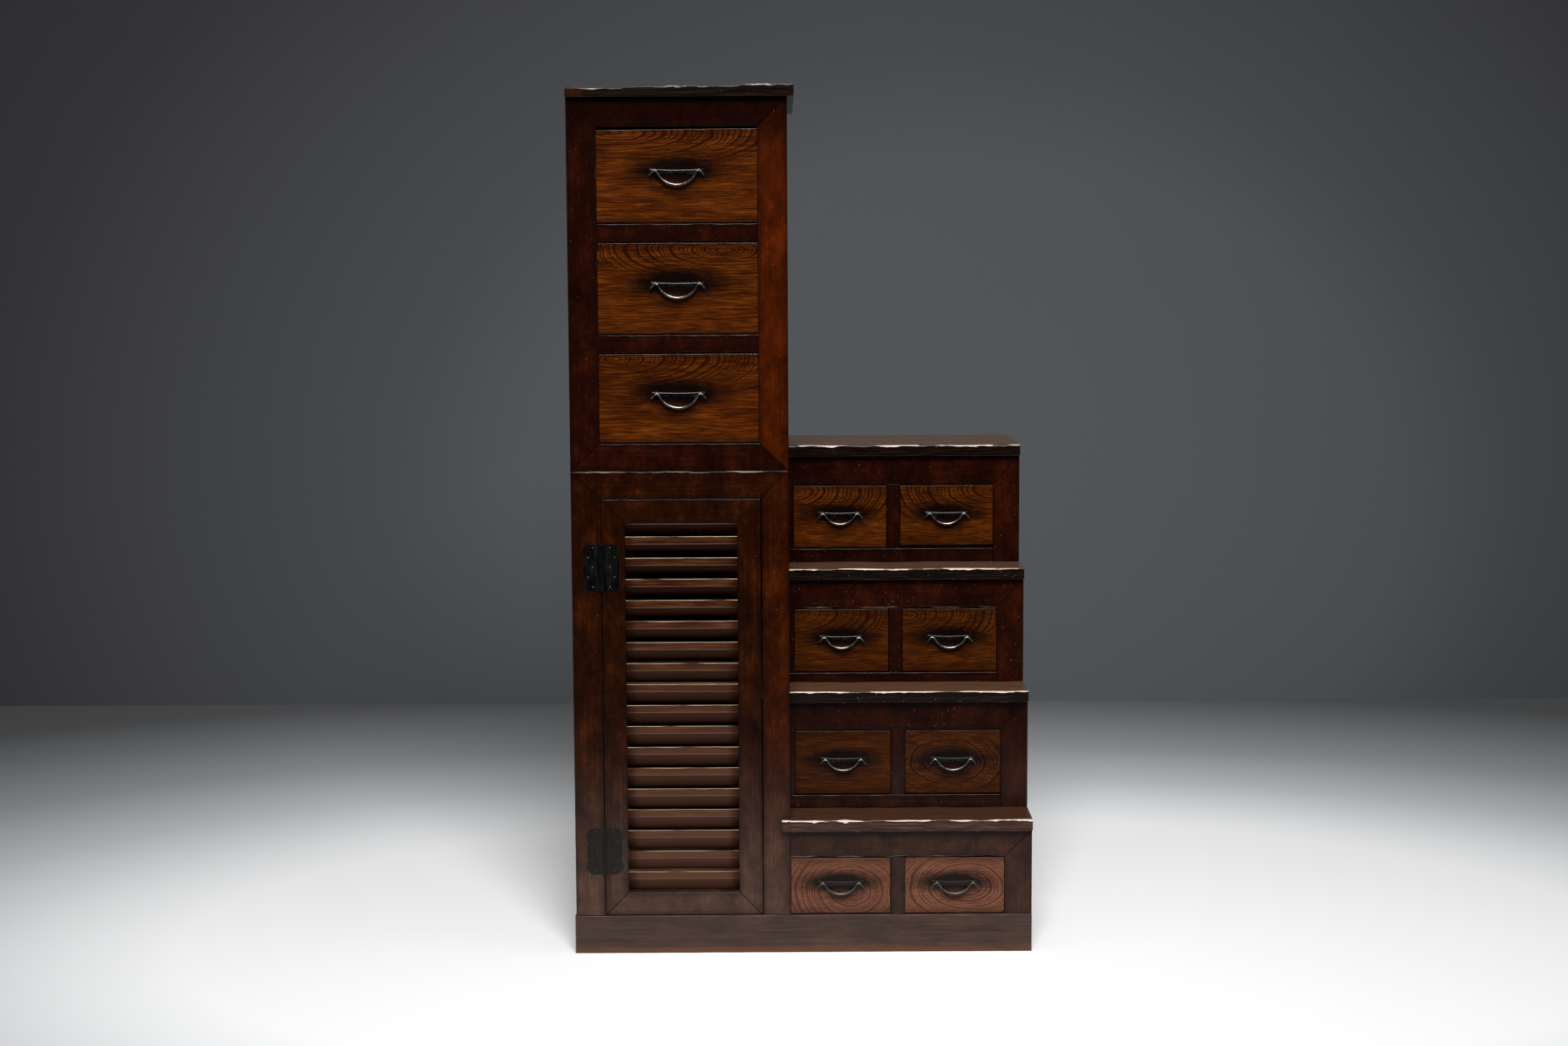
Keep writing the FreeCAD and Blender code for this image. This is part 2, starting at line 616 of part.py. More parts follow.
def drawer_unit():
    """The three wide drawers' case, with a mitred face frame and dust boards."""
    openings = drawer_unit_openings()
    lowest, highest = openings[0][1], openings[-1][2]
    top = f"({highest} + unit_top_rail)"
    face = (FACE, FRAME_BACK)
    depth = (FRAME_BACK, PANEL_BACK)
    height = (CUPBOARD_TOP, top)
    inside = (INSIDE_LEFT, INSIDE_RIGHT)
    clear = (UNIT_LEFT, UNIT_RIGHT)
    node("unit_side_panels", [
        board("unit_left_panel", (LEFT, INSIDE_LEFT), depth, height),
        board("unit_right_panel", (INSIDE_RIGHT, TOWER_RIGHT), depth, height),
    ])
    node("unit_back_panel", [
        board("unit_back", (LEFT, TOWER_RIGHT), (PANEL_BACK, BACK), height),
    ])
    dust_boards = []
    for name, low, high in openings:
        guide = (low, f"{low} + guide_height")
        dust_boards += [
            board(name + "_dust_board", inside, depth, (f"{low} - floor_thickness", low)),
            board(name + "_left_guide", (INSIDE_LEFT, UNIT_LEFT), depth, guide),
            board(name + "_right_guide", (UNIT_RIGHT, INSIDE_RIGHT), depth, guide),
        ]
        drawer(f"{name}_drawer", "wide", clear, (low, high), low, FACE)
    node("unit_dust_boards", dust_boards)
    members = [
        mitred_stile("unit_left_stile", height, (lowest, highest), (LEFT, UNIT_LEFT), face),
        mitred_stile("unit_right_stile", (lowest, highest), height, (UNIT_RIGHT, TOWER_RIGHT), face),
        mitred_rail("unit_low_rail", (LEFT, TOWER_RIGHT), clear, face, (CUPBOARD_TOP, lowest)),
        mitred_rail("unit_high_rail", clear, (LEFT, TOWER_RIGHT), face, (highest, top)),
    ]
    for (name, _, high), (_, low, _) in zip(openings, openings[1:]):
        members.append(board(f"rail_over_{name}_drawer", clear, face, (high, low)))
    node("unit_face_frame", members)
    front = f"({FACE} - nosing)"
    ends = (LEFT, f"({LEFT} + top_board_end)", f"({TOWER_RIGHT} + top_board_overhang)")
    parts = zip(("end_piece", "main_piece"), ends, ends[1:])
    node("unit_top_board", [
        nosed_board(name, [(start, front), (end, front), (end, BACK), (start, BACK)], top, "top_board")
        for name, start, end in parts
    ])


# ---------------------------------------------------------------- steps

def step(number, base, face):
    """One block of two small drawers that stands at height `base`; gives its tread's top."""
    name = f"step_{number}"
    lowest_step = number == 1
    opening_low = base if lowest_step else f"({base} + {name}_bottom_rail)"
    opening_top = f"({opening_low} + {name}_opening)"
    top = f"({opening_top} + {name}_top_rail)"
    floor = f"({base} + floor_thickness)" if lowest_step else opening_low
    near = TOWER_RIGHT if lowest_step else f"({TOWER_RIGHT} + step_near_stile)"
    far = f"({RIGHT} - step_stile)"
    panel = f"({RIGHT} - side_thickness)"
    half = f"(({far} - {near} - muntin) / 2)"
    muntin = (f"({near} + {half})", f"({far} - {half})")
    frame = (face, f"({face} + frame_thickness)")
    depth = (frame[1], PANEL_BACK)
    height = (base, top)

    case = [
        board(name + "_right_panel", (panel, RIGHT), depth, height),
        board(name + "_back", (TOWER_RIGHT, RIGHT), (PANEL_BACK, BACK), height),
        board(name + "_floor", (near, panel), depth, (f"({floor} - floor_thickness)", floor)),
        board(name + "_partition", muntin, depth, (floor, top)),
        board(name + "_guide", (far, panel), depth, (floor, f"({floor} + guide_height)")),
    ]
    members = [
        mitred_rail(name + "_top_rail", (TOWER_RIGHT, far), (TOWER_RIGHT, RIGHT), frame, (opening_top, top)),
        mitred_stile(name + "_right_stile", (base, opening_top), height, (far, RIGHT), frame),
        board(name + "_muntin", muntin, frame, (opening_low, opening_top)),
    ]
    if not lowest_step:
        case.append(board(name + "_near_panel", (TOWER_RIGHT, near), depth, height))
        members.append(board(name + "_bottom_rail", (TOWER_RIGHT, far), frame, (base, opening_low)))
        members.append(board(name + "_near_stile", (TOWER_RIGHT, near), frame, (opening_low, opening_top)))
    node(name + "_case", case)
    node(name + "_face_frame", members)

    front = f"({face} - nosing)"
    corners = [(TOWER_RIGHT, front), (RIGHT, front), (RIGHT, BACK), (TOWER_RIGHT, BACK)]
    if lowest_step:
        horn = f"({TOWER_RIGHT} - tread_horn)"
        corners = [(horn, front)] + corners[1:] + [(TOWER_RIGHT, face), (horn, face)]
    node(name + "_tread", [nosed_board(name + "_tread_board", corners, top, "tread_thickness")])

    for side, opening in (("left", (near, muntin[0])), ("right", (muntin[1], far))):
        drawer(f"{name}_{side}_drawer", "small", opening, (opening_low, opening_top), floor, face)
    return f"({top} + tread_thickness)"


def steps():
    """Four blocks, each on the tread of the one below and set back behind it."""
    base = "plinth_height"
    face = FACE
    for number in range(1, 5):
        base = step(number, base, face)
        face = f"({face} + step_setback)"


# ---------------------------------------------------------------- build, check, write

def check():
    """Stop if anything failed to build."""
    DOC.recompute()
    failed = [item.Name for item in DOC.Objects if {"Invalid", "Error"} & set(item.State)]
    failed += [item.Name for item in NODES if item.Shape.isNull() or not item.Shape.isValid()]
    if failed:
        raise SystemExit("failed: " + ", ".join(failed))


def write():
    """One STEP file for each sub-part."""
    os.makedirs("parts", exist_ok=True)
    for item in NODES:
        item.Shape.exportStep(f"parts/{item.Label}.step")
    print(len(NODES), "sub-parts,", sum(len(item.Shape.Solids) for item in NODES), "solids")


fill_sheet()
plinth()
cupboard_panels()
cupboard_shelf()
cupboard_face_frame()
louvred_door()
hinges()
drawer_unit()
steps()
check()
write()
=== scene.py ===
"""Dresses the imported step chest: hand-worn lacquered boards, keyaki drawer fronts, wrought iron.

Sizes are written in millimetres and turned to metres when a mesh is made. X runs to the right
along the front, Y to the back and Z up. Boards are indexed by their low and high sides on each axis.
"""
import json
import math

import bpy
import numpy as np
from mathutils import Matrix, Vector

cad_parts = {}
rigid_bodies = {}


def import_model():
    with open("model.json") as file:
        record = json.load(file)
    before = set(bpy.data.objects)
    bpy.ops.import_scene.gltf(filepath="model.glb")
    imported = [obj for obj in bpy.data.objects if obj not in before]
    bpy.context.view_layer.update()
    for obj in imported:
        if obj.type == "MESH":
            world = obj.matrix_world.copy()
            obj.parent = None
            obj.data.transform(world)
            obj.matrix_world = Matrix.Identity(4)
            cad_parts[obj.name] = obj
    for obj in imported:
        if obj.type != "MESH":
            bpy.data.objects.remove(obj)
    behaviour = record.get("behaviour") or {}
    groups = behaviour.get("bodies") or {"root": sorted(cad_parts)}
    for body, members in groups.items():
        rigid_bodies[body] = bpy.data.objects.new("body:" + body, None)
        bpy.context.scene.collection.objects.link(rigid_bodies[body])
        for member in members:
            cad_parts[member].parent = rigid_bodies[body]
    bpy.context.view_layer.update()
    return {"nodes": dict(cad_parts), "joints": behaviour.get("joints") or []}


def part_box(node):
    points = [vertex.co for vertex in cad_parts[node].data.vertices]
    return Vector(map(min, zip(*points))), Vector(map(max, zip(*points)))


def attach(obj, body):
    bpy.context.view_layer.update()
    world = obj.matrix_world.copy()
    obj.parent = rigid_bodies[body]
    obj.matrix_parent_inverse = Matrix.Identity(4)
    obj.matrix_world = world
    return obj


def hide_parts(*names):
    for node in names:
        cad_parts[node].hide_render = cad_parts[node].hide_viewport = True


for leftover in list(bpy.data.objects):
    bpy.data.objects.remove(leftover)
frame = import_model()

MM = 0.001
TURN = 2 * math.pi
X, Y, Z = range(3)

# Boards of the case, in millimetres
PANEL = 18.0
BACK_BOARD = 9.0
DUST_BOARD = 12.0
GUIDE = 20.0
PLINTH_BOARD = 21.0
BEARER = 60.0
SHELF = 15.0
CLEAT = 15.0
HINGE_STILE = 58.0
CLOSING_STILE = 53.5
CUPBOARD_RAIL = 53.0
STOP_OVERLAP = 12.0
DOOR_MEMBER = 46.0
SLATS = 17
SLAT_FACE = 14.6
SLAT_CLEARANCE = 0.4
HEAD_SLAT_FACE = 2.0
UNIT_STILE = 57.0
END_PIECE = 39.0
END_SLANT = 7.0
TOP_FALL = 7.0
FRAME_DEPTH = 22.0
SIDE_GAP = 1.0
DRAWER_RISE = 2.2
DRAWER_FALL = 2.5
DRAWER_FRONT = 18.0
DRAWER_SIDE = 9.0
DRAWER_BOTTOM = 6.0
SIDE_DROP = 8.0
FLOOR_GAP = 0.5
# The distance between the sections of a board that lies hidden or behind
HIDDEN = 60.0

# Hinges, in millimetres
LEAF = 1.2
NAIL_DOME = 1.2
LEAF_ARRIS = 0.4

# Pulls, in millimetres
WIDE_PULL = {"span": 86.0, "drop": 26.5, "height": 8.0}
SMALL_PULL = {"span": 72.0, "drop": 21.0, "height": 5.7}
WIRE = 5.0
EYE_WIRE = 3.2
BEND = 3.5
FLARE = 8.5
FLARE_ANGLE = 50.0
EYE_HALF = 1.8
PLATE_ARRIS = 0.7


# ---------------------------------------------------------------- places

def span(node):
    """A node's lowest and highest corners in millimetres."""
    low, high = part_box(node)
    return np.round(np.array([low, high]) / MM, 3)


def board(x, y, z):
    """Eight corners of a square board, from its low and high side along each axis."""
    corners = np.empty((2, 2, 2, 3))
    corners[..., 0] = np.array(x)[:, None, None]
    corners[..., 1] = np.array(y)[None, :, None]
    corners[..., 2] = np.array(z)[None, None, :]
    return corners


def rail(low, high, y, z):
    """A level board whose lower edge runs over `low` and whose upper edge runs over `high`."""
    corners = board(low, y, z)
    corners[:, :, 1, 0] = np.array(high)[:, None]
    return corners


def stile(left, right, x, y):
    """An upright board whose left edge runs over `left` and whose right edge runs over `right`."""
    corners = board(x, y, left)
    corners[1, :, :, 2] = np.array(right)[None, :]
    return corners


def eyes(drawer_name):
    """Where a drawer's bail turns, in millimetres: midway between the eyes of its pull."""
    joint = next(joint for joint in frame["joints"] if joint["child"] == drawer_name + "_bail")
    return np.array(joint["pos_m"]) / MM


def heights(name):
    """A drawer's heights: its opening's sill, the foot of its front, its floor and its top."""
    low, top = span(name)[:, 2]
    if name.startswith("step_1"):
        sill = low - DRAWER_RISE
        return sill, low, sill + DUST_BOARD + FLOOR_GAP, top
    sill = low - FLOOR_GAP
    return sill, sill + DRAWER_RISE, low, top


# ---------------------------------------------------------------- surfaces

def waves(places, length, seed):
    """Smooth noise along a line: six sines of random pitch near `length` and random phase, summed."""
    draw = np.random.default_rng(seed)
    pitch = length * draw.uniform(0.5, 2.2, 6)
    phase = draw.uniform(0, TURN, 6)
    return np.sin(places[:, None] * TURN / pitch + phase).sum(1) / 3.0


def chips(places, per_metre, depth, seed):
    """Small losses along an arris: bell curves at random places, 2 to 9 mm wide, added up."""
    draw = np.random.default_rng(seed)
    length = places[-1] - places[0]
    count = max(1, int(round(per_metre * length / 1000)))
    middle = draw.uniform(places[0], places[-1], count)
    half = draw.uniform(2.0, 9.0, count)
    size = depth * draw.uniform(0.2, 1.0, count)
    return (size * np.exp(-((places[:, None] - middle) / half) ** 2)).sum(1)


# An arris: radius, share it wavers by, chips per metre, chip depth and how pale it is rubbed, partly a
# painted highlight
SAWN = (0.7, 0.2, 0, 0, 0.0)
EASED = (1.2, 0.4, 6, 0.5, 0.2)
RUBBED = (1.5, 0.5, 10, 1.0, 0.5)
WORN = (2.4, 0.45, 22, 2.2, 0.8)
TREAD_EDGE = (2.3, 0.45, 34, 2.0, 1.0)
TOWER_TOP_EDGE = (2.3, 0.45, 34, 2.0, 0.6)
SLAT_HEAD = (1.2, 0.2, 6, 0.3, 1.0)
SLAT_FOOT = (0.6, 0.1, 2, 0.1, 0.2)
# Arrises that many boards share
EASED_FRONT = {"front_low": EASED, "front_high": EASED}
RUBBED_FRONT = {"front_low": RUBBED, "front_high": RUBBED}
EASED_BACK = {"back_low": EASED, "back_high": EASED}
TREAD = {"front_low": RUBBED, "front_high": TREAD_EDGE, "back_high": EASED}
TOWER_TOP = TREAD | {"front_high": TOWER_TOP_EDGE}


# The corners round a board's section: whether each is on the high side and on the back
CORNERS = {"front_low": (0, 0), "front_high": (1, 0), "back_high": (1, 1), "back_low": (0, 1)}
# Lengths of the waves along a board: of an arris's radius, of how pale it is and of the sag
RADIUS_WAVE = 55.0
PALE_WAVE = 90.0
SAG_WAVE = 110.0


def sections(length, pitch, ease):
    """Places of a board's sections, about `pitch` apart, and how far each one shrinks: a quarter
    circle of radius `ease` at each end."""
    turn = np.radians([0, 45])
    ending = ease * (1 - np.cos(turn))
    inner = np.linspace(ease, length - ease, max(2, int(round((length - 2 * ease) / pitch)) + 1))
    places = np.concatenate([ending, inner, length - ending[::-1]])
    shrink = np.zeros(len(places))
    shrink[:2] = ease * (1 - np.sin(turn))
    shrink[-2:] = shrink[1::-1]
    return places, shrink[:, None]


def arris_lines(places, arrises, limit, seed):
    """Each corner's radius along the board, from `waves` and `chips` and at most `limit`, and how
    pale it is rubbed, which is partly a painted highlight."""
    radii, pale = [], []
    for number, corner in enumerate(CORNERS):
        radius, share, per_metre, loss, rubbed = arrises.get(corner, SAWN)
        line = radius * (1 + share * waves(places, RADIUS_WAVE, seed * 8 + number))
        if per_metre:
            line = line + chips(places, per_metre, loss, seed * 8 + number + 4)
        radii.append(np.clip(line, 0.35 * radius, limit)[:, None])
        patch = 0.75 + 0.45 * waves(places, PALE_WAVE, seed * 8 + number + 400)
        pale.append(rubbed * np.clip(patch, 0.15, 1.0)[:, None])
    return radii, pale


def outlines(shrink, width, depth, radii, pale):
    """The points round each section: how far across and inward they lie and how pale they are.

    A corner is a quarter circle of its radius. Two more points on the flat after it, 1.5 radii
    from either corner or two fifths of the flat, hold the rubbed band's edge.
    """
    arc = np.radians([0, 30, 60, 90])
    across, inward, rub = [], [], []
    for number, (side, back) in enumerate(CORNERS.values()):
        flat = width if side == back else depth
        near, far = [np.minimum(1.5 * radii[corner % 4], 0.4 * flat) for corner in (number, number + 1)]
        ahead = np.concatenate([shrink + radii[number] * (1 - np.cos(arc)), near, flat - far], 1)
        aside = np.concatenate([shrink + radii[number] * (1 - np.sin(arc)), shrink, shrink], 1)
        from_side, from_face = (ahead, aside) if side == back else (aside, ahead)
        across.append(width - from_side if side else from_side)
        inward.append(depth - from_face if back else from_face)
        rub.append(pale[number] * np.array([0.55, 1.0, 1.0, 0.55, 0.0, 0.0]))
    return [np.concatenate(parts, 1) for parts in (across, inward, rub)]


def plank(corners, along, arrises=None, seed=0, pitch=12.0, ease=0.5, heart=None, sag=0.0, sun=0.0):
    """Surface of one board: a rectangle with four rounded corners is carried along the board.

    The section's place is a blend of the board's eight corners, so mitres and slopes keep their
    planes. `arrises` names the corners that are worn, and how. `heart` places the tree's middle:
    how far along and across it lies, the slope between it and the board, and a start along it.
    `sag` lowers the high side by a share of itself that follows `waves`. `low_rim` and `high_rim`
    hold each point's distances from the board's low and high sides: across, inward and along.
    `sun` is a share from 0 to 1: on a frame board it is painted light, brighter on the side where light
    falls; on a drawer front it is how far the front has paled with age.
    """
    grid = np.transpose(corners, {X: (X, Z, Y, 3), Y: (Y, X, Z, 3), Z: (Z, X, Y, 3)}[along])
    edges = [np.diff(grid, axis=axis).mean((0, 1, 2)) for axis in range(3)]
    length, width, depth = [np.linalg.norm(edge) for edge in edges]
    places, shrink = sections(length, pitch, ease)
    radii, pale = arris_lines(places, arrises or {}, 0.42 * min(width, depth), seed)
    across, inward, rub = outlines(shrink, width, depth, radii, pale)
    run = np.broadcast_to(places[:, None], across.shape)

    shares = (run / length, across / width, inward / depth)
    points = np.zeros(across.shape + (3,))
    for corner in np.ndindex(2, 2, 2):
        weight = np.prod([share if high else 1 - share for share, high in zip(shares, corner)], 0)
        points += weight[..., None] * grid[corner]
    worn_down = np.clip(0.5 + 0.5 * waves(places, SAG_WAVE, seed + 77), 0, 1)[:, None]
    points[..., 2] -= sag * (across / width) * worn_down

    if heart is None:
        draw = np.random.default_rng(seed)
        heart = (draw.uniform(-0.4, 0.4) * length, draw.uniform(-1.6, -0.6) * width - 40,
                 draw.uniform(-0.02, 0.02), draw.uniform(0, 4000))
    middle, off, slope, start = heart
    tree = np.stack([inward + slope * (run - middle), across - off, run + start], -1)
    low_rim = np.stack([across, inward, run], -1)

    rows, ring = across.shape
    index = np.arange(rows * ring).reshape(rows, ring)
    after = np.roll(index, -1, 1)
    quads = np.stack([index[:-1], after[:-1], after[1:], index[1:]], -1).reshape(-1, 4)
    caps = np.stack([index[0, ::-1], index[-1]])
    if np.linalg.det(edges) < 0:
        quads, caps = quads[:, ::-1], caps[:, ::-1]
    return {"points": points.reshape(-1, 3), "faces": [quads, caps], "rub": rub.reshape(-1),
            "sun": np.full(rub.size, sun), "heart": tree.reshape(-1, 3),
            "low_rim": low_rim.reshape(-1, 3),
            "high_rim": (width, depth, length) - low_rim.reshape(-1, 3)}


def tube(path, radius, sides=12):
    """Round wire: a circle of the given radius at each point of the path, square to its direction.

    The path lies in a plane of constant y, so the frame at each point is the tangent, the y axis
    and their product. Two smaller rings and a cap round off each end: `out` is how far the rings
    lie past the end and `wide` their size, in radii.
    """
    tangent = np.gradient(path, axis=0)
    tangent /= np.linalg.norm(tangent, axis=1)[:, None]
    out = np.array([0.5, 0.3])
    wide = np.array([0.45, 0.8])
    head = path[0] - tangent[0] * radius[0] * out[:, None]
    tail = path[-1] + tangent[-1] * radius[-1] * out[::-1, None]
    path = np.concatenate([head, path, tail])
    tangent = np.concatenate([tangent[[0, 0]], tangent, tangent[[-1, -1]]])
    radius = np.concatenate([wide * radius[0], radius, wide[::-1] * radius[-1]])
    depth = np.array([0.0, 1.0, 0.0])
    side = np.cross(tangent, depth)
    angle = np.linspace(0, TURN, sides, endpoint=False)[None, :, None]
    ring = np.cos(angle) * side[:, None] + np.sin(angle) * depth
    points = path[:, None] + radius[:, None, None] * ring
    index = np.arange(points.shape[0] * sides).reshape(-1, sides)
    after = np.roll(index, -1, 1)
    quads = np.stack([index[:-1], index[1:], after[1:], after[:-1]], -1).reshape(-1, 4)
    caps = np.stack([index[0], index[-1, ::-1]])
    return {"points": points.reshape(-1, 3), "faces": [quads, caps]}


def piece(name, surfaces, body, slot, stands_for=(), weighted=True):
    """One object from several surfaces, in the slot's finish, riding on a body of the frame."""
    mesh = bpy.data.meshes.new(name)
    shift = np.cumsum([0] + [len(surface["points"]) for surface in surfaces])
    points = np.concatenate([surface["points"] for surface in surfaces]) * MM
    loops, totals = [], []
    for start, surface in zip(shift, surfaces):
        for faces in surface["faces"]:
            loops.append((faces + start).reshape(-1))
            totals.append(np.full(len(faces), faces.shape[1]))
    loops = np.concatenate(loops)
    totals = np.concatenate(totals)
    mesh.vertices.add(len(points))
    mesh.vertices.foreach_set("co", points.astype(np.float32).reshape(-1))
    mesh.loops.add(len(loops))
    mesh.loops.foreach_set("vertex_index", loops.astype(np.int32))
    mesh.polygons.add(len(totals))
    mesh.polygons.foreach_set("loop_start", np.concatenate([[0], np.cumsum(totals)[:-1]]).astype(np.int32))
    mesh.polygons.foreach_set("use_smooth", np.ones(len(totals), bool))
    for key in sorted(surfaces[0].keys() - {"points", "faces"}):
        values = np.concatenate([surface[key] for surface in surfaces])
        kind, field = ("FLOAT", "value") if values.ndim == 1 else ("FLOAT_VECTOR", "vector")
        layer = mesh.attributes.new(key, kind, "POINT")
        layer.data.foreach_set(field, values.astype(np.float32).reshape(-1))
    mesh.update(calc_edges=True)
    mesh.validate()
    made = bpy.data.objects.new(name, mesh)
    bpy.context.scene.collection.objects.link(made)
    made.data.materials.append(FINISHES[slot])
    if weighted:
        modifier = made.modifiers.new("flat_faces", "WEIGHTED_NORMAL")
        modifier.weight = 80
    if stands_for:
        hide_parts(*stands_for)
    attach(made, body)


# ---------------------------------------------------------------- finishes

def paint(code):
    """The linear colour of an sRGB hex value."""
    parts = np.array([int(code[i:i + 2], 16) for i in (1, 3, 5)]) / 255
    linear = np.where(parts <= 0.04045, parts / 12.92, ((parts + 0.055) / 1.055) ** 2.4)
    return (*linear.tolist(), 1.0)


# A Mix node's sockets and settings for laying one colour over another by a share
SHARE, UNDER, OVER = 0, 6, 7
COLOURS = {"out": 2, "data_type": "RGBA"}
SMOOTH = {"interpolation_type": "SMOOTHSTEP"}


def add(tree, kind, inputs=(), out=0, ramp=None, **settings):
    """Add one shader node and give back one of its outputs.

    `inputs` fills its sockets in order, or by name or number: each gets a value, or is joined to
    another node's output. `ramp` holds a colour ramp's stops, and the rest are the node's settings.
    """
    made = tree.nodes.new("ShaderNode" + kind)
    for name, setting in settings.items():
        setattr(made, name, setting)
    for key, given in inputs.items() if isinstance(inputs, dict) else enumerate(inputs):
        if isinstance(given, bpy.types.NodeSocket):
            tree.links.new(given, made.inputs[key])
        else:
            made.inputs[key].default_value = given
    if ramp:
        stops = made.color_ramp.elements
        while len(stops) < len(ramp):
            stops.new(0.5)
        for stop, (place, colour) in zip(stops, ramp):
            stop.position = place
            stop.color = paint(colour)
    return made.outputs[out]


def finish(name, shade, relief_depth=0.0006, relief=0.35, **sockets):
    """A material of the given name. `shade` adds its nodes and gives back the colour, the roughness
    and the height of its relief; `sockets` are the shader's values that are the same all over."""
    made = bpy.data.materials.new(name)
    made.use_nodes = True
    tree = made.node_tree
    shader = tree.nodes["Principled BSDF"]
    colour, roughness, height = shade(tree)
    tree.links.new(colour, shader.inputs["Base Color"])
    tree.links.new(roughness, shader.inputs["Roughness"])
    bump = add(tree, "Bump", {"Height": height, "Strength": relief, "Distance": relief_depth}, out="Normal")
    tree.links.new(bump, shader.inputs["Normal"])
    for key, value in sockets.items():
        shader.inputs[key.replace("_", " ")].default_value = value
    return made


def uneven(tree, place, size, detail=3.0, roughness=0.55):
    """Soft unevenness from 0 to 1; `size` is its width along each axis, in the units of `place`."""
    scaled = add(tree, "VectorMath", (place, tuple(1 / width for width in size)), operation="MULTIPLY")
    return add(tree, "TexNoise", {"Vector": scaled, "Scale": 1.0, "Detail": detail, "Roughness": roughness})


def growth(tree, widest, narrowest, near, waver):
    """Growth rings in a board's own millimetres, as they are cut open by its faces.

    The distance from the tree's heart line is bent by slow and fine noise. A ring is `widest` at
    the heart and falls towards `narrowest` as the exponential of distance over `near`, so the
    count of rings is near/narrowest times the logarithm of the exponential's weighted sum. Gives
    back how far past the last dark line a point lies, the ring's width there and the place.
    """
    heart = add(tree, "Attribute", out="Vector", attribute_name="heart")
    flat = add(tree, "VectorMath", (heart, (1.0, 1.0, 0.0)), operation="MULTIPLY")
    reach = add(tree, "VectorMath", (flat,), out="Value", operation="LENGTH")
    for size, bend in (((40.0, 40.0, 90.0), waver), ((6.0, 6.0, 14.0), 0.12 * waver)):
        reach = add(tree, "Math", (uneven(tree, heart, size, 2.0), bend, reach), operation="MULTIPLY_ADD")
    spread = add(tree, "Math", (reach, near), operation="DIVIDE")
    spread = add(tree, "Math", (spread,), operation="EXPONENT")
    taper = add(tree, "Math", (narrowest, widest), operation="DIVIDE")
    inside = add(tree, "Math", (spread, 1.0), operation="SUBTRACT")
    inside = add(tree, "Math", (inside, taper, 1.0), operation="MULTIPLY_ADD")
    count = add(tree, "Math", (inside, math.e), operation="LOGARITHM")
    count = add(tree, "Math", (count, near), operation="MULTIPLY")
    count = add(tree, "Math", (count, narrowest), operation="DIVIDE")
    width = add(tree, "Math", (widest, narrowest), operation="SUBTRACT")
    width = add(tree, "Math", (width, spread), operation="DIVIDE")
    width = add(tree, "Math", (width, narrowest), operation="ADD")
    years = add(tree, "TexNoise", {"W": count, "Scale": 0.6, "Detail": 1.0}, noise_dimensions="1D")
    count = add(tree, "Math", (years, 1.6, count), operation="MULTIPLY_ADD")
    past = add(tree, "Math", (add(tree, "Math", (count,), operation="FRACT"), width), operation="MULTIPLY")
    return past, width, heart


def oval(tree, place, middle, stretch):
    """How far `place` lies from `middle` once each axis is multiplied by its `stretch`."""
    off = add(tree, "VectorMath", (place, middle), operation="SUBTRACT")
    off = add(tree, "VectorMath", (off, stretch), operation="MULTIPLY")
    return add(tree, "VectorMath", (off,), out="Value", operation="LENGTH")


def rims(tree):
    """Distances in millimetres to a board's nearest long arris and to its nearest end."""
    low = add(tree, "Attribute", out="Vector", attribute_name="low_rim")
    high = add(tree, "Attribute", out="Vector", attribute_name="high_rim")
    nearest = add(tree, "VectorMath", (low, high), operation="MINIMUM")
    return [add(tree, "SeparateXYZ", (nearest,), out=axis) for axis in "XZ"]


def worn_arris_and_glint(tree, place, colour, bare, strength, low=0.25, high=0.8, size=0.006):
    """The colour with its arrises worn to `bare`: the board's rubbed band, broken up by noise `size`
    metres wide, partly real wear and partly a painted highlight of light on the rounded arris. The
    wear starts at `low` and reaches its `strength` at `high`."""
    band = add(tree, "Attribute", out="Fac", attribute_name="rub")
    broken = uneven(tree, place, (size * 3, size, size * 3), 4.0, 0.7)
    broken = add(tree, "Math", (broken, 0.35), operation="ADD")
    worn = add(tree, "Math", (band, broken), operation="MULTIPLY")
    worn = add(tree, "MapRange", (worn, low, high), **SMOOTH)
    share = add(tree, "Math", (worn, strength), operation="MULTIPLY")
    return add(tree, "Mix", {SHARE: share, UNDER: colour, OVER: paint(bare)}, **COLOURS)


def edge_shade_and_age(tree, place, colour, seam=1.4, shade_border=14.0):
    """Shade and age over a lacquered board: painted shade darkening a ragged band along its long
    arrises, where sooty grime also gathers, dark joints at its ends and small pale knocks."""
    edge, end = rims(tree)
    # painted shade, with sooty grime: a ragged band along the long arrises goes dark
    ragged = uneven(tree, place, (0.05, 0.05, 0.05), 4.0, 0.6)
    edge = add(tree, "Math", (ragged, 16.0, edge), operation="MULTIPLY_ADD")
    soot_and_shade = add(tree, "MapRange", (edge, shade_border + 8.0, 4.0), **SMOOTH)
    soot_and_shade = add(tree, "Math", (soot_and_shade, 0.55), operation="MULTIPLY")
    colour = add(tree, "Mix", {SHARE: soot_and_shade, UNDER: colour, OVER: paint("#0d0503")}, **COLOURS)
    joint = add(tree, "MapRange", (end, seam, 0.4))
    colour = add(tree, "Mix", {SHARE: joint, UNDER: colour, OVER: paint("#050202")}, **COLOURS)
    knocks = uneven(tree, place, (0.004, 0.004, 0.004), 2.0)
    knocks = add(tree, "MapRange", (knocks, 0.71, 0.75, 0.0, 0.4))
    return add(tree, "Mix", {SHARE: knocks, UNDER: colour, OVER: paint("#8f7c6a")}, **COLOURS)


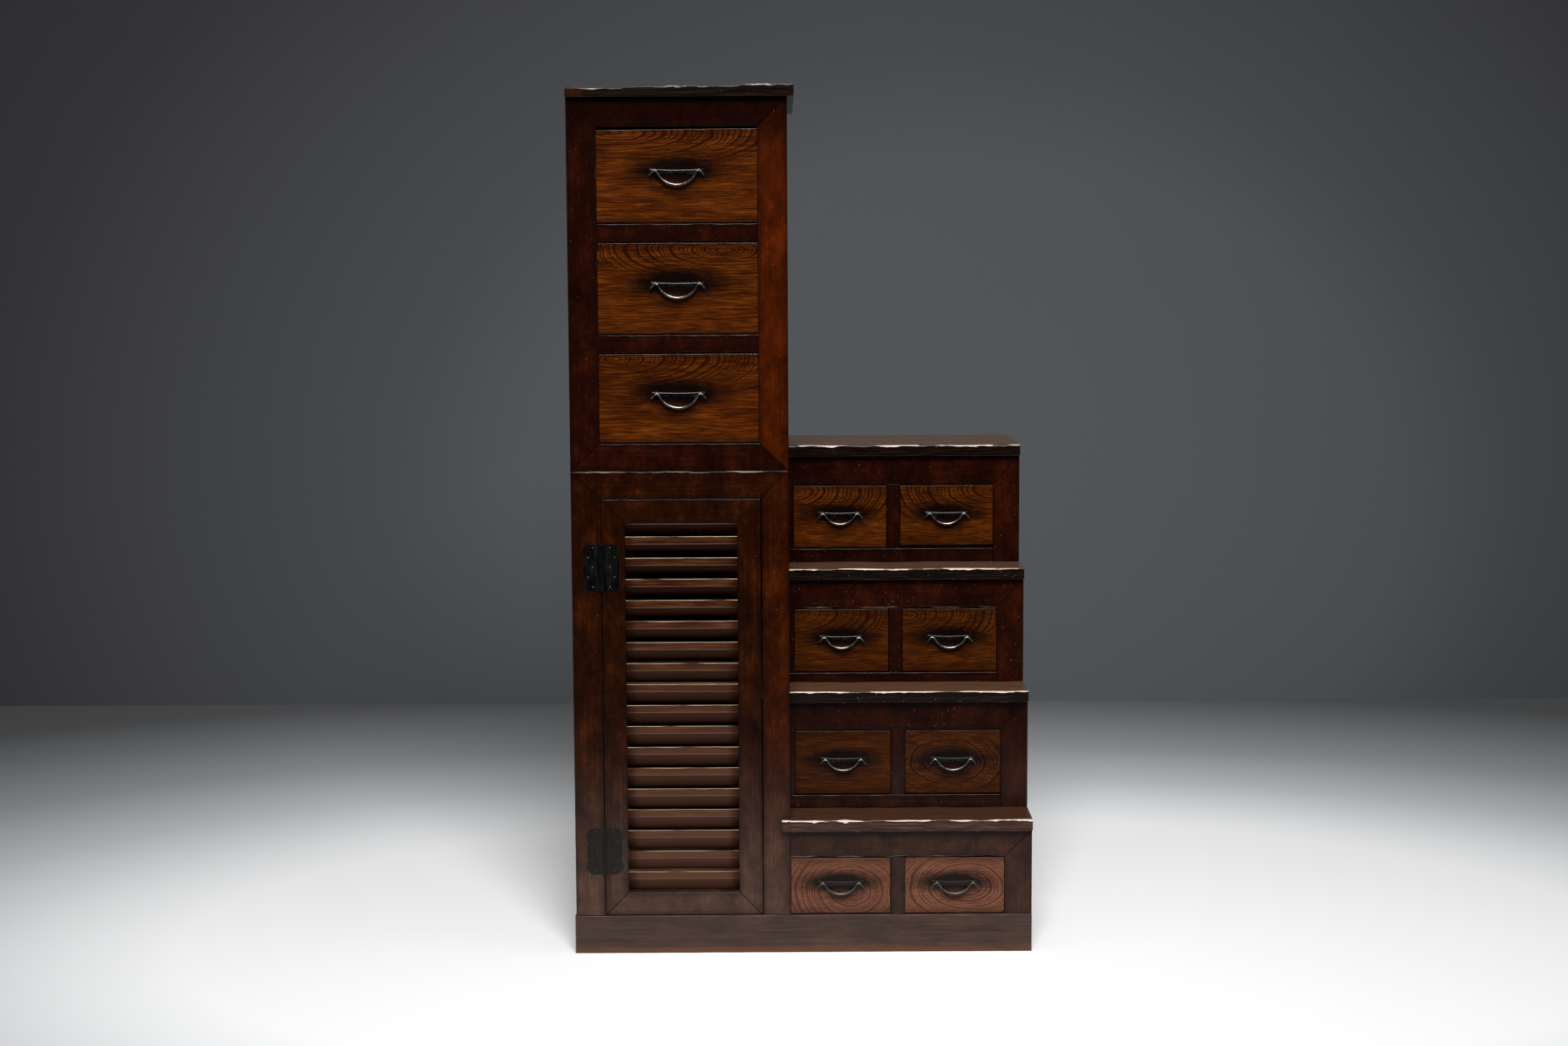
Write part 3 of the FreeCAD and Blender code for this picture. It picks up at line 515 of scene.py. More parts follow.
def frame_lacquer(tree):
    """Cypress frame members wiped with red-brown urushi lacquer, thin and rubbed by hands.

    To the eye: nearly black at the shaded top and left and glowing red-brown where light falls, both
    painted light and shade; faint straight grain under a gloss, pale broken lines on the arrises that
    are partly a painted highlight, painted shade along the arrises, and greyer low down, a painted
    reflection of the floor.
    """
    place = add(tree, "TexCoord", out="Object")
    heart = add(tree, "Attribute", out="Vector", attribute_name="heart")
    streaks = uneven(tree, heart, (4.0, 4.0, 160.0), 4.0, 0.6)
    mottle = uneven(tree, place, (0.05, 0.05, 0.08), 6.0, 0.72)
    tone = add(tree, "Math", (streaks, 0.45), operation="MULTIPLY")
    tone = add(tree, "Math", (mottle, 1.3, tone), operation="MULTIPLY_ADD")
    tone = add(tree, "MapRange", (tone, 0.52, 1.30))
    shaded = add(tree, "ValToRGB", (tone,), ramp=[(0.15, "#0b0301"), (0.5, "#1d0703"), (0.85, "#321005")])
    browned = add(tree, "ValToRGB", (tone,), ramp=[(0.15, "#0e0401"), (0.5, "#210b03"), (0.85, "#3c1904")])
    lit_side_ramp = add(tree, "ValToRGB", (tone,), ramp=[(0.15, "#220902"), (0.5, "#3b1302"), (0.85, "#561f05")])
    across, up = [add(tree, "SeparateXYZ", (place,), out=axis) for axis in "XZ"]
    # the cupboard has been wiped with a browner coat than the rest
    cupboard = add(tree, "MapRange", (across, -0.022, -0.028))
    cupboard = add(tree, "Math", (cupboard, add(tree, "MapRange", (up, 0.97, 0.93))), operation="MULTIPLY")
    colour = add(tree, "Mix", {SHARE: cupboard, UNDER: shaded, OVER: browned}, **COLOURS)
    # painted light: the boards on the side where light falls turn a brighter red-brown
    sun = add(tree, "Attribute", out="Fac", attribute_name="sun")
    colour = add(tree, "Mix", {SHARE: sun, UNDER: colour, OVER: lit_side_ramp}, **COLOURS)
    # the head of the tower goes near black, partly its own darker lacquer and partly painted shade under the
    # top board; the foot goes greyer, a painted reflection of the floor
    head_dark_and_shade = add(tree, "MapRange", (up, 1.55, 1.67, 0.0, 0.75), **SMOOTH)
    colour = add(tree, "Mix", {SHARE: head_dark_and_shade, UNDER: colour, OVER: paint("#0e0301")}, **COLOURS)
    floor_sheen = add(tree, "MapRange", (up, 0.45, 0.08, 0.0, 0.45), **SMOOTH)
    twice = add(tree, "Math", (cupboard, 1.0), operation="ADD")
    floor_sheen = add(tree, "Math", (floor_sheen, twice), operation="MULTIPLY")
    floor_sheen_ramp = add(tree, "ValToRGB", (tone,), ramp=[(0.15, "#2d1f18"), (0.5, "#402e26"), (0.85, "#543d31")])
    colour = add(tree, "Mix", {SHARE: floor_sheen, UNDER: colour, OVER: floor_sheen_ramp}, **COLOURS)
    colour = edge_shade_and_age(tree, place, colour, 1.8)
    # pale arris lines: partly real wear, partly a painted highlight
    colour = worn_arris_and_glint(tree, place, colour, "#9d897a", 0.8, 0.38, 0.8, 0.02)
    gloss = add(tree, "Math", (mottle, 0.16, 0.12), operation="MULTIPLY_ADD")
    return colour, gloss, streaks


def tread_lacquer(tree):
    """Thick pine treads under black-brown urushi lacquer, trodden dull on top, chipped at the front.

    To the eye: streaky grey-brown tops with pale scratches, near-black front edges that are browner
    on the lowest tread, and bright broken lines on the arrises.
    """
    place = add(tree, "TexCoord", out="Object")
    past, _, heart = growth(tree, 9.0, 6.0, 200.0, 14.0)
    streaks = uneven(tree, heart, (3.5, 3.5, 120.0), 5.0, 0.65)
    line = add(tree, "MapRange", (past, 2.4, 0.3, 0.0, 0.16))
    tone = add(tree, "Math", (streaks, line), operation="SUBTRACT")
    dark = add(tree, "ValToRGB", (tone,), ramp=[(0.30, "#060201"), (0.5, "#0f0602"), (0.72, "#26140a")])
    brown = add(tree, "ValToRGB", (tone,), ramp=[(0.30, "#1c0e08"), (0.5, "#37211a"), (0.72, "#583c30")])
    across, up = [add(tree, "SeparateXYZ", (place,), out=axis) for axis in "XZ"]
    low = add(tree, "MapRange", (up, 0.42, 0.30))
    colour = add(tree, "Mix", {SHARE: low, UNDER: dark, OVER: brown}, **COLOURS)
    facing = add(tree, "SeparateXYZ", (add(tree, "NewGeometry", out="Normal"),), out="Z")
    trodden = add(tree, "MapRange", (facing, 0.75, 0.98), **SMOOTH)
    scuffs = uneven(tree, place, (0.05, 0.012, 0.05), 4.0, 0.6)
    scuffs = add(tree, "Math", (scuffs, 0.25), operation="ADD")
    share = add(tree, "Math", (trodden, scuffs), operation="MULTIPLY")
    bare = add(tree, "Mix", {SHARE: low, UNDER: paint("#5f422f"), OVER: paint("#43291c")}, **COLOURS)
    colour = add(tree, "Mix", {SHARE: share, UNDER: colour, OVER: bare}, **COLOURS)
    # the left end of the tower's top is a fresher piece
    end = add(tree, "Math", (add(tree, "MapRange", (across, -0.416, -0.420)),
                             add(tree, "MapRange", (up, 1.60, 1.62))), operation="MULTIPLY")
    end = add(tree, "Math", (end, 0.5), operation="MULTIPLY")
    colour = add(tree, "Mix", {SHARE: end, UNDER: colour, OVER: paint("#2e1406")}, **COLOURS)
    knocks = add(tree, "MapRange", (uneven(tree, place, (0.005, 0.003, 0.003), 2.0), 0.71, 0.76, 0.0, 0.4))
    colour = add(tree, "Mix", {SHARE: knocks, UNDER: colour, OVER: paint("#a3907e")}, **COLOURS)
    # bright broken arris lines: partly real wear, partly a painted highlight
    colour = worn_arris_and_glint(tree, place, colour, "#d2c3b8", 0.8, 0.38, 0.62, 0.005)
    gloss = add(tree, "Math", (streaks, 0.3, 0.10), operation="MULTIPLY_ADD")
    return colour, gloss, tone


def side_lacquer(tree):
    """Cedar side and back boards wiped with dark lacquer, drier and plainer than the front.

    To the eye: long flat-topped grain figures showing through deep brown, dull gloss.
    """
    place = add(tree, "TexCoord", out="Object")
    past, _, heart = growth(tree, 22.0, 9.0, 120.0, 26.0)
    streaks = uneven(tree, heart, (4.0, 4.0, 200.0), 4.0, 0.6)
    line = add(tree, "MapRange", (past, 4.0, 0.4, 0.0, 0.14))
    tone = add(tree, "Math", (streaks, line), operation="SUBTRACT")
    colour = add(tree, "ValToRGB", (tone,), ramp=[(0.30, "#170803"), (0.5, "#301308"), (0.7, "#4d2410")])
    up = add(tree, "SeparateXYZ", (place,), out="Z")
    # painted reflection of the floor: the lower boards go greyer
    floor_sheen = add(tree, "MapRange", (up, 0.55, 0.05, 0.0, 0.55), **SMOOTH)
    colour = add(tree, "Mix", {SHARE: floor_sheen, UNDER: colour, OVER: paint("#3d2a20")}, **COLOURS)
    colour = edge_shade_and_age(tree, place, colour, 0.8, 6.0)
    # pale arris lines: partly real wear, partly a painted highlight
    colour = worn_arris_and_glint(tree, place, colour, "#7a675a", 0.5)
    gloss = add(tree, "Math", (streaks, 0.3, 0.32), operation="MULTIPLY_ADD")
    return colour, gloss, tone


# Ovals of darkening round a pull: height over its eyes, half width, half height and strength. The
# first lies behind the plate and is the sooty black of hands; the second lies under the bow and is
# its painted shadow.
SOOT_AND_SHADOW = ((1.0, 100.0, 28.0, 0.97), (-26.0, 42.0, 24.0, 0.6))


def pull_soot_and_shadow(tree):
    """How dark it is round a pull: the stronger of two ragged ovals, the sooty black of hands behind the
    plate and the bow's painted shadow under it.
    """
    pull = add(tree, "Attribute", out="Vector", attribute_name="pull")
    smoke = uneven(tree, pull, (22.0, 22.0, 16.0), 4.0, 0.6)
    soot_and_shade = 0.0
    for height, half, rise, strength in SOOT_AND_SHADOW:
        reach = oval(tree, pull, (0.0, 0.0, height), (1 / half, 0.0, 1 / rise))
        reach = add(tree, "Math", (smoke, 0.6, reach), operation="MULTIPLY_ADD")
        patch = add(tree, "MapRange", (reach, 1.75, 0.8, 0.0, strength), **SMOOTH)
        soot_and_shade = add(tree, "Math", (soot_and_shade, patch), operation="MAXIMUM")
    return soot_and_shade


def keyaki(light, middle, dark):
    """Keyaki (zelkova) fronts sawn near the tree's heart, oiled and stained, sooty round the pull, with the
    bow's painted shadow.

    To the eye: orange-brown bands between dark pore lines that sweep in arches at the heart's
    height, and plain brown with fine level streaks below, short dark flecks along the grain,
    darker towards the edges in painted shade, pale arris lines that are partly a painted highlight,
    and a soft black patch behind the iron. The lowest pair is lighter and greyer, a painted
    reflection of the floor.
    """
    def shade(tree):
        place = add(tree, "TexCoord", out="Object")
        rings = add(tree, "Attribute", out="Vector", attribute_name="rings")
        widest, least = [add(tree, "SeparateXYZ", (rings,), out=axis) for axis in "XY"]
        past, width, heart = growth(tree, widest, least, 26.0, 9.0)
        # pores are about 0.3 mm wide; they are drawn at 1.7 mm so that they show
        flecks = uneven(tree, heart, (14.0, 1.7, 150.0), 4.0, 0.65)
        broad = uneven(tree, heart, (30.0, 18.0, 140.0), 3.0)
        line = add(tree, "MapRange", (past, 2.4, 0.7), **SMOOTH)
        narrow = add(tree, "Math", (past, width), operation="DIVIDE")
        narrow = add(tree, "MapRange", (narrow, 0.6, 0.15), **SMOOTH)
        line = add(tree, "Math", (line, narrow), operation="MINIMUM")
        below = add(tree, "Math", (add(tree, "SeparateXYZ", (heart,), out="Y"),), operation="ABSOLUTE")
        arched = add(tree, "MapRange", (below, 80.0, 30.0, 0.12, 1.0), **SMOOTH)
        tone = add(tree, "Math", (broad, 0.30, add(tree, "Math", (flecks, 0.90), operation="MULTIPLY")),
                   operation="MULTIPLY_ADD")
        lift = add(tree, "Math", (arched, 0.02, tone), operation="MULTIPLY_ADD")
        colour = add(tree, "ValToRGB", (lift,), ramp=[(0.40, dark), (0.60, middle), (0.86, light)])
        share = add(tree, "Math", (add(tree, "Math", (line, arched), operation="MULTIPLY"), 0.85),
                    operation="MULTIPLY")
        colour = add(tree, "Mix", {SHARE: share, UNDER: colour, OVER: paint(dark)}, **COLOURS)
        pits = add(tree, "MapRange", (flecks, 0.42, 0.30, 0.0, 0.45))
        colour = add(tree, "Mix", {SHARE: pits, UNDER: colour, OVER: paint(dark)}, **COLOURS)
        sun = add(tree, "Attribute", out="Fac", attribute_name="sun")
        soaked = add(tree, "MapRange", (sun, 1.0, 0.0, 0.0, 0.8))
        colour = add(tree, "Mix", {SHARE: soaked, UNDER: colour, OVER: paint(dark)}, **COLOURS)

        up = add(tree, "SeparateXYZ", (place,), out="Z")
        # painted reflection of the floor: the lowest pair turns lighter and greyer
        low_floor_sheen = add(tree, "MapRange", (up, 0.28, 0.22, 0.0, 0.85), **SMOOTH)
        dry = add(tree, "Math", (share, -0.45, lift), operation="MULTIPLY_ADD")
        dry = add(tree, "ValToRGB", (dry,), ramp=[(0.2, "#3f251b"), (0.55, "#613c2c"), (0.9, "#7d513d")])
        colour = add(tree, "Mix", {SHARE: low_floor_sheen, UNDER: colour, OVER: dry}, **COLOURS)

        # painted shade: the front goes darker towards its edges
        edge, _ = rims(tree)
        ragged = uneven(tree, place, (0.03, 0.03, 0.03), 3.0)
        edge = add(tree, "Math", (ragged, 14.0, edge), operation="MULTIPLY_ADD")
        shade_border = add(tree, "MapRange", (edge, 26.0, 6.0, 0.0, 0.5), **SMOOTH)
        colour = add(tree, "Mix", {SHARE: shade_border, UNDER: colour, OVER: paint("#1d0b03")}, **COLOURS)

        # the sooty black of hands behind the plate, and the bow's painted shadow under it
        colour = add(tree, "Mix", {SHARE: pull_soot_and_shadow(tree), UNDER: colour, OVER: paint("#070303")}, **COLOURS)
        # pale arris lines: partly real wear, partly a painted highlight
        colour = worn_arris_and_glint(tree, place, colour, "#a8835f", 0.6, 0.30, 0.7, 0.02)
        gloss = add(tree, "Math", (flecks, 0.16, 0.12), operation="MULTIPLY_ADD")
        return colour, gloss, add(tree, "Math", (tone, line), operation="SUBTRACT")
    return shade


def louvre_wood(tree):
    """Thin cypress slats wiped with lacquer and rubbed bare along the top arris, with a painted highlight
    there.

    To the eye: olive-brown strips with a cream line above each, darker and redder near the ends in
    painted shade, dark undersides in painted shade, a faint painted reflection of the floor along
    each foot, and greyer lower slats, also a painted reflection.
    """
    place = add(tree, "TexCoord", out="Object")
    heart = add(tree, "Attribute", out="Vector", attribute_name="heart")
    streaks = uneven(tree, heart, (3.0, 3.0, 90.0), 4.0, 0.6)
    patches = uneven(tree, place, (0.10, 0.05, 0.012), 2.0)
    tone = add(tree, "Math", (patches, streaks), operation="ADD")
    colour = add(tree, "ValToRGB", (add(tree, "MapRange", (tone, 0.75, 1.3)),),
                 ramp=[(0.1, "#240e05"), (0.5, "#3a1f10"), (0.9, "#50321c")])
    # painted shade: the undersides go dark just past each strip's foot, and black the deeper they lie in the
    # slot
    deep = add(tree, "Attribute", out="Vector", attribute_name="low_rim")
    deep = add(tree, "SeparateXYZ", (deep,), out="Y")
    under = add(tree, "MapRange", (deep, 0.9, 1.3))
    colour = add(tree, "Mix", {SHARE: under, UNDER: colour, OVER: paint("#1f0902")}, **COLOURS)
    up = add(tree, "SeparateXYZ", (place,), out="Z")
    # painted reflection of the floor: the lower slats go greyer, in place of their sheen
    floor_sheen = add(tree, "MapRange", (up, 0.75, 0.25, 0.0, 0.75))
    colour = add(tree, "Mix", {SHARE: floor_sheen, UNDER: colour, OVER: paint("#4e3428")}, **COLOURS)
    # painted reflection of the floor: a thin pale line along each strip's foot
    foot = add(tree, "Math", (deep, 1.0, 0.85), operation="COMPARE")
    foot = add(tree, "Math", (foot, 0.8), operation="MULTIPLY")
    colour = add(tree, "Mix", {SHARE: foot, UNDER: colour, OVER: paint("#6b4f41")}, **COLOURS)
    # painted shade: black deep in each slot, starting nearer the strip higher up the door
    shade_line = add(tree, "MapRange", (up, 0.80, 0.35, 9.0, 24.0))
    black = add(tree, "Math", (deep, shade_line), operation="SUBTRACT")
    black = add(tree, "MapRange", (black, 0.0, 12.0), **SMOOTH)
    colour = add(tree, "Mix", {SHARE: black, UNDER: colour, OVER: paint("#040101")}, **COLOURS)
    # painted shade: darker and redder near the slat ends, by the frame
    _, end = rims(tree)
    stained = add(tree, "MapRange", (end, 26.0, 2.0, 0.0, 0.7), **SMOOTH)
    colour = add(tree, "Mix", {SHARE: stained, UNDER: colour, OVER: paint("#180602")}, **COLOURS)
    # the cream top line: partly bare wood, partly a painted highlight
    handled = add(tree, "MapRange", (up, 0.9, 0.3, 1.0, 0.6))
    colour = worn_arris_and_glint(tree, place, colour, "#cdb89c", handled, 0.15, 0.45, 0.03)
    gloss = add(tree, "Math", (streaks, 0.15, 0.16), operation="MULTIPLY_ADD")
    return colour, gloss, streaks


def plinth_wood(tree):
    """Stained cedar base boards, scuffed by feet and brooms.

    To the eye: dull grey-brown, worn through to orange-brown along the bottom edge.
    """
    place = add(tree, "TexCoord", out="Object")
    past, _, heart = growth(tree, 12.0, 8.0, 150.0, 24.0)
    streaks = uneven(tree, heart, (5.0, 5.0, 200.0), 4.0, 0.6)
    mottle = uneven(tree, place, (0.09, 0.09, 0.03), 6.0, 0.72)
    line = add(tree, "MapRange", (past, 3.0, 0.3, 0.0, 0.08))
    tone = add(tree, "Math", (streaks, 0.5, add(tree, "Math", (mottle, 0.8), operation="MULTIPLY")),
               operation="MULTIPLY_ADD")
    tone = add(tree, "Math", (tone, line), operation="SUBTRACT")
    colour = add(tree, "ValToRGB", (tone,), ramp=[(0.45, "#21140d"), (0.63, "#311f16"), (0.82, "#402b1f")])
    up = add(tree, "SeparateXYZ", (place,), out="Z")
    ragged = uneven(tree, place, (0.12, 0.12, 0.006), 4.0, 0.7)
    ragged = add(tree, "Math", (ragged, -0.03, up), operation="MULTIPLY_ADD")
    scuffed = add(tree, "MapRange", (ragged, 0.004, -0.010, 0.0, 0.5), **SMOOTH)
    colour = add(tree, "Mix", {SHARE: scuffed, UNDER: colour, OVER: paint("#5b3717")}, **COLOURS)
    # pale arris lines: partly real wear, partly a painted highlight
    colour = worn_arris_and_glint(tree, place, colour, "#7e6856", 0.35)
    gloss = add(tree, "Math", (streaks, 0.2, 0.36), operation="MULTIPLY_ADD")
    return colour, gloss, tone


def inner_softwood(tree):
    """Bare paulownia and cedar inside the case, browned by age.

    To the eye: dry mid brown with soft straight grain and no gloss.
    """
    place = add(tree, "TexCoord", out="Object")
    past, _, heart = growth(tree, 14.0, 6.0, 120.0, 22.0)
    streaks = uneven(tree, heart, (4.0, 4.0, 180.0), 4.0, 0.6)
    line = add(tree, "MapRange", (past, 2.6, 0.3, 0.0, 0.18))
    tone = add(tree, "Math", (streaks, line), operation="SUBTRACT")
    colour = add(tree, "ValToRGB", (tone,), ramp=[(0.25, "#54391f"), (0.5, "#755434"), (0.7, "#8f6c45")])
    stain = add(tree, "MapRange", (uneven(tree, place, (0.12, 0.12, 0.12), 4.0), 0.45, 0.75), **SMOOTH)
    colour = add(tree, "Mix", {SHARE: stain, UNDER: colour, OVER: paint("#4d3522")}, **COLOURS)
    dry = add(tree, "Math", (streaks, 0.2, 0.6), operation="MULTIPLY_ADD")
    return colour, dry, tone


def forged_iron(dark, middle, light, polish, proud=-9.0, top_glint=0.5):
    """Hand-forged iron, baked with oil: `polish` is its lowest roughness, the tips of nails that
    stand on a face at `proud`, in metres, are rubbed grey, partly a painted highlight, and surfaces
    that face up get a painted highlight by `top_glint`.

    To the eye: blue-black plates with faint upright hammer streaks and fine scale; the bails are
    the same iron rubbed bright by fingers.
    """
    def shade(tree):
        place = add(tree, "TexCoord", out="Object")
        hammer = uneven(tree, place, (0.005, 0.005, 0.040), 3.0, 0.6)
        scale = uneven(tree, place, (0.0015, 0.0015, 0.0015), 3.0, 0.7)
        tone = add(tree, "Math", (hammer, scale), operation="ADD")
        colour = add(tree, "ValToRGB", (add(tree, "MapRange", (tone, 0.7, 1.3)),),
                     ramp=[(0.1, dark), (0.5, middle), (0.9, light)])
        # painted highlight: surfaces that face up turn pale
        level = add(tree, "SeparateXYZ", (add(tree, "TexCoord", out="Normal"),), out="Z")
        level = add(tree, "MapRange", (level, 0.3, 0.8, 0.0, top_glint))
        colour = add(tree, "Mix", {SHARE: level, UNDER: colour, OVER: paint("#c4beb6")}, **COLOURS)
        # nail tips rubbed grey, partly a painted highlight on their domes
        out = add(tree, "SeparateXYZ", (place,), out="Y")
        rubbed = add(tree, "Math", (out, proud - NAIL_DOME * MM, 0.0004), operation="COMPARE")
        rubbed = add(tree, "Math", (rubbed, 0.14), operation="MULTIPLY")
        colour = add(tree, "Mix", {SHARE: rubbed, UNDER: colour, OVER: paint("#8d8984")}, **COLOURS)
        # floor dust and mop water have dulled the lowest iron
        up = add(tree, "SeparateXYZ", (place,), out="Z")
        dusty = add(tree, "MapRange", (up, 0.45, 0.2, 0.0, 0.6))
        colour = add(tree, "Mix", {SHARE: dusty, UNDER: colour, OVER: paint("#35302d")}, **COLOURS)
        gloss = add(tree, "Math", (dusty, 0.3, polish), operation="MULTIPLY_ADD")
        return colour, add(tree, "Math", (hammer, 0.3, gloss), operation="MULTIPLY_ADD"), tone
    return shade


LEAF_FRONT = (span("cupboard_face_frame")[0][1] - LEAF) * MM
# The finish of each slot's pieces
FINISHES = {
    "frame_lacquer": finish("frame_wiped_urushi_lacquer", frame_lacquer, relief=0.1, IOR=1.5,
                            Specular_IOR_Level=0.1),
    "tread_lacquer": finish("tread_black_urushi_lacquer", tread_lacquer, 0.0008, 0.2, IOR=1.5,
                            Specular_IOR_Level=0.2),
    "side_lacquer": finish("side_wiped_cedar", side_lacquer, IOR=1.5),
    "tower_drawer_keyaki": finish("tower_oiled_keyaki", keyaki("#7c3e0c", "#401a04", "#140501"),
                                  relief=0.12, IOR=1.48, Specular_IOR_Level=0.15),
    "step_drawer_keyaki": finish("step_oiled_keyaki", keyaki("#763c0d", "#411c04", "#150601"),
                                 relief=0.12, IOR=1.48, Specular_IOR_Level=0.1),
    "louvre_wood": finish("louvre_wiped_cypress", louvre_wood, 0.0005, 0.2, IOR=1.5,
                          Specular_IOR_Level=0.03),
    "plinth_wood": finish("plinth_stained_cedar", plinth_wood, 0.0007, 0.2, IOR=1.5,
                          Specular_IOR_Level=0.3),
    "inner_softwood": finish("inner_bare_softwood", inner_softwood, IOR=1.5),
    "wrought_iron": finish("forged_iron_rubbed_bright", forged_iron("#484542", "#625e5a", "#827d77", 0.12),
                           0.0002, 0.05, Metallic=1.0),
}
# The finishes of the pull plates and the hinges, which keep their own shapes
PLATE_IRON = finish("forged_blackened_iron", forged_iron("#131212", "#1d1c1b", "#343230", 0.22, top_glint=0.75),
                    0.0003, 0.3, Metallic=1.0)
HINGE_IRON = finish("forged_blackened_leaves",
                    forged_iron("#111010", "#1b1a1a", "#333130", 0.25, LEAF_FRONT, 0.3),
                    0.0003, 0.3, Metallic=1.0)


# ---------------------------------------------------------------- case

def plinth():
    """Four base boards on edge, with a bearer under the middle."""
    (left, front, floor), (right, back, top) = span("plinth")
    between = (front + PLINTH_BOARD, back - PLINTH_BOARD)
    z = (floor, top)
    edge = {"front_low": EASED, "front_high": RUBBED}
    boards = [
        plank(board((left, right), (front, between[0]), z), X, edge, 11, 9.0),
        plank(board((left, right), (between[1], back), z), X, {"back_high": EASED}, 12, HIDDEN),
        plank(board((left, left + PLINTH_BOARD), between, z), Y, {}, 13, HIDDEN),
        plank(board((right - PLINTH_BOARD, right), between, z), Y, {}, 14, HIDDEN),
        plank(board((-BEARER / 2, BEARER / 2), between, z), Y, {}, 15, HIDDEN),
    ]
    piece("plinth_boards", boards, "case", "plinth_wood", ["plinth"])


def back_boards(x, y, z, seed):
    """A back made up of three upright boards, butted edge to edge."""
    cuts = np.linspace(*x, 4)
    return [plank(board(edges, y, z), Z, EASED_BACK, seed + number, HIDDEN)
            for number, edges in enumerate(zip(cuts, cuts[1:]))]


def panels():
    """Side and back boards of the tower's two units."""
    for unit, seed in (("cupboard", 20), ("unit", 30)):
        (left, front, low), (right, back, high) = span(unit + "_side_panels")
        sides = [plank(board(x, (front, back), (low, high)), Z, {"back_low": EASED}, seed + number, 40.0,
                       heart=(400.0, 300.0 + 500 * number, 0.03, 900.0 * number))
                 for number, x in enumerate([(left, left + PANEL), (right - PANEL, right)])]
        piece(unit + "_side_boards", sides, "case", "side_lacquer", [unit + "_side_panels"])
        (left, front, low), (right, back, high) = span(unit + "_back_panel")
        backs = back_boards((left, right), (front, back), (low, high), seed + 5)
        piece(unit + "_back_boards", backs, "case", "side_lacquer", [unit + "_back_panel"])


def cupboard_inside():
    """The cupboard's floor and ceiling, and its shelf on two cleats."""
    (left, front, low), (right, back, high) = span("cupboard_floor_and_ceiling")
    levels = [plank(board((left, right), (front, back), z), X, {}, 40 + number, HIDDEN)
              for number, z in enumerate([(low, low + DUST_BOARD), (high - DUST_BOARD, high)])]
    piece("cupboard_level_boards", levels, "case", "inner_softwood", ["cupboard_floor_and_ceiling"])
    (left, front, low), (right, back, high) = span("cupboard_shelf")
    shelf = [
        plank(board((left, right), (front, back), (high - SHELF, high)), X, {"front_low": EASED}, 44, 40.0),
        plank(board((left, left + CLEAT), (front, back), (low, high - SHELF)), Y, {}, 45, HIDDEN),
        plank(board((right - CLEAT, right), (front, back), (low, high - SHELF)), Y, {}, 46, HIDDEN),
    ]
    piece("cupboard_shelf_boards", shelf, "case", "inner_softwood", ["cupboard_shelf"])


def drawer_levels():
    """A dust board under each of the tower's drawers, with a guide on either side of the drawer."""
    (left, front, _), (right, back, _) = span("unit_dust_boards")
    face = span("unit_face_frame")
    y = (front, back)
    guides = ((left, face[0][0] + UNIT_STILE), (face[1][0] - UNIT_STILE, right))
    levels = []
    for number, name in enumerate(("bottom", "middle", "top")):
        low = heights(name + "_drawer")[0]
        levels.append(plank(board((left, right), y, (low - DUST_BOARD, low)), X, {}, 50 + number, HIDDEN))
        levels += [plank(board(x, y, (low, low + GUIDE)), Y, {}, seed + number, HIDDEN)
                   for seed, x in zip((55, 60), guides)]
    piece("unit_level_boards", levels, "case", "inner_softwood", ["unit_dust_boards"])


def cupboard_frame():
    """Two stiles and a rail, mitred at the top corners, and the batten that stops the door."""
    (left, front, low), (right, back, high) = span("cupboard_face_frame")
    y = (front, front + FRAME_DEPTH)
    inner = (left + HINGE_STILE, right - CLOSING_STILE)
    head = high - CUPBOARD_RAIL
    boards = [
        plank(stile((low, high), (low, head), (left, inner[0]), y), Z,
              {"front_low": RUBBED, "front_high": EASED}, 70, 9.0),
        # painted light: a little of it on this right stile
        plank(stile((low, head), (low, high), (inner[1], right), y), Z,
              EASED_FRONT, 71, 9.0, sun=0.3),
        plank(rail(inner, (left, right), y, (head, high)), X,
              {"front_low": RUBBED, "front_high": WORN}, 72, 9.0),
        plank(board(inner, (y[1], back), (head - STOP_OVERLAP, head + STOP_OVERLAP)), X, {}, 73, HIDDEN),
    ]
    piece("cupboard_frame_members", boards, "case", "frame_lacquer", ["cupboard_face_frame"])


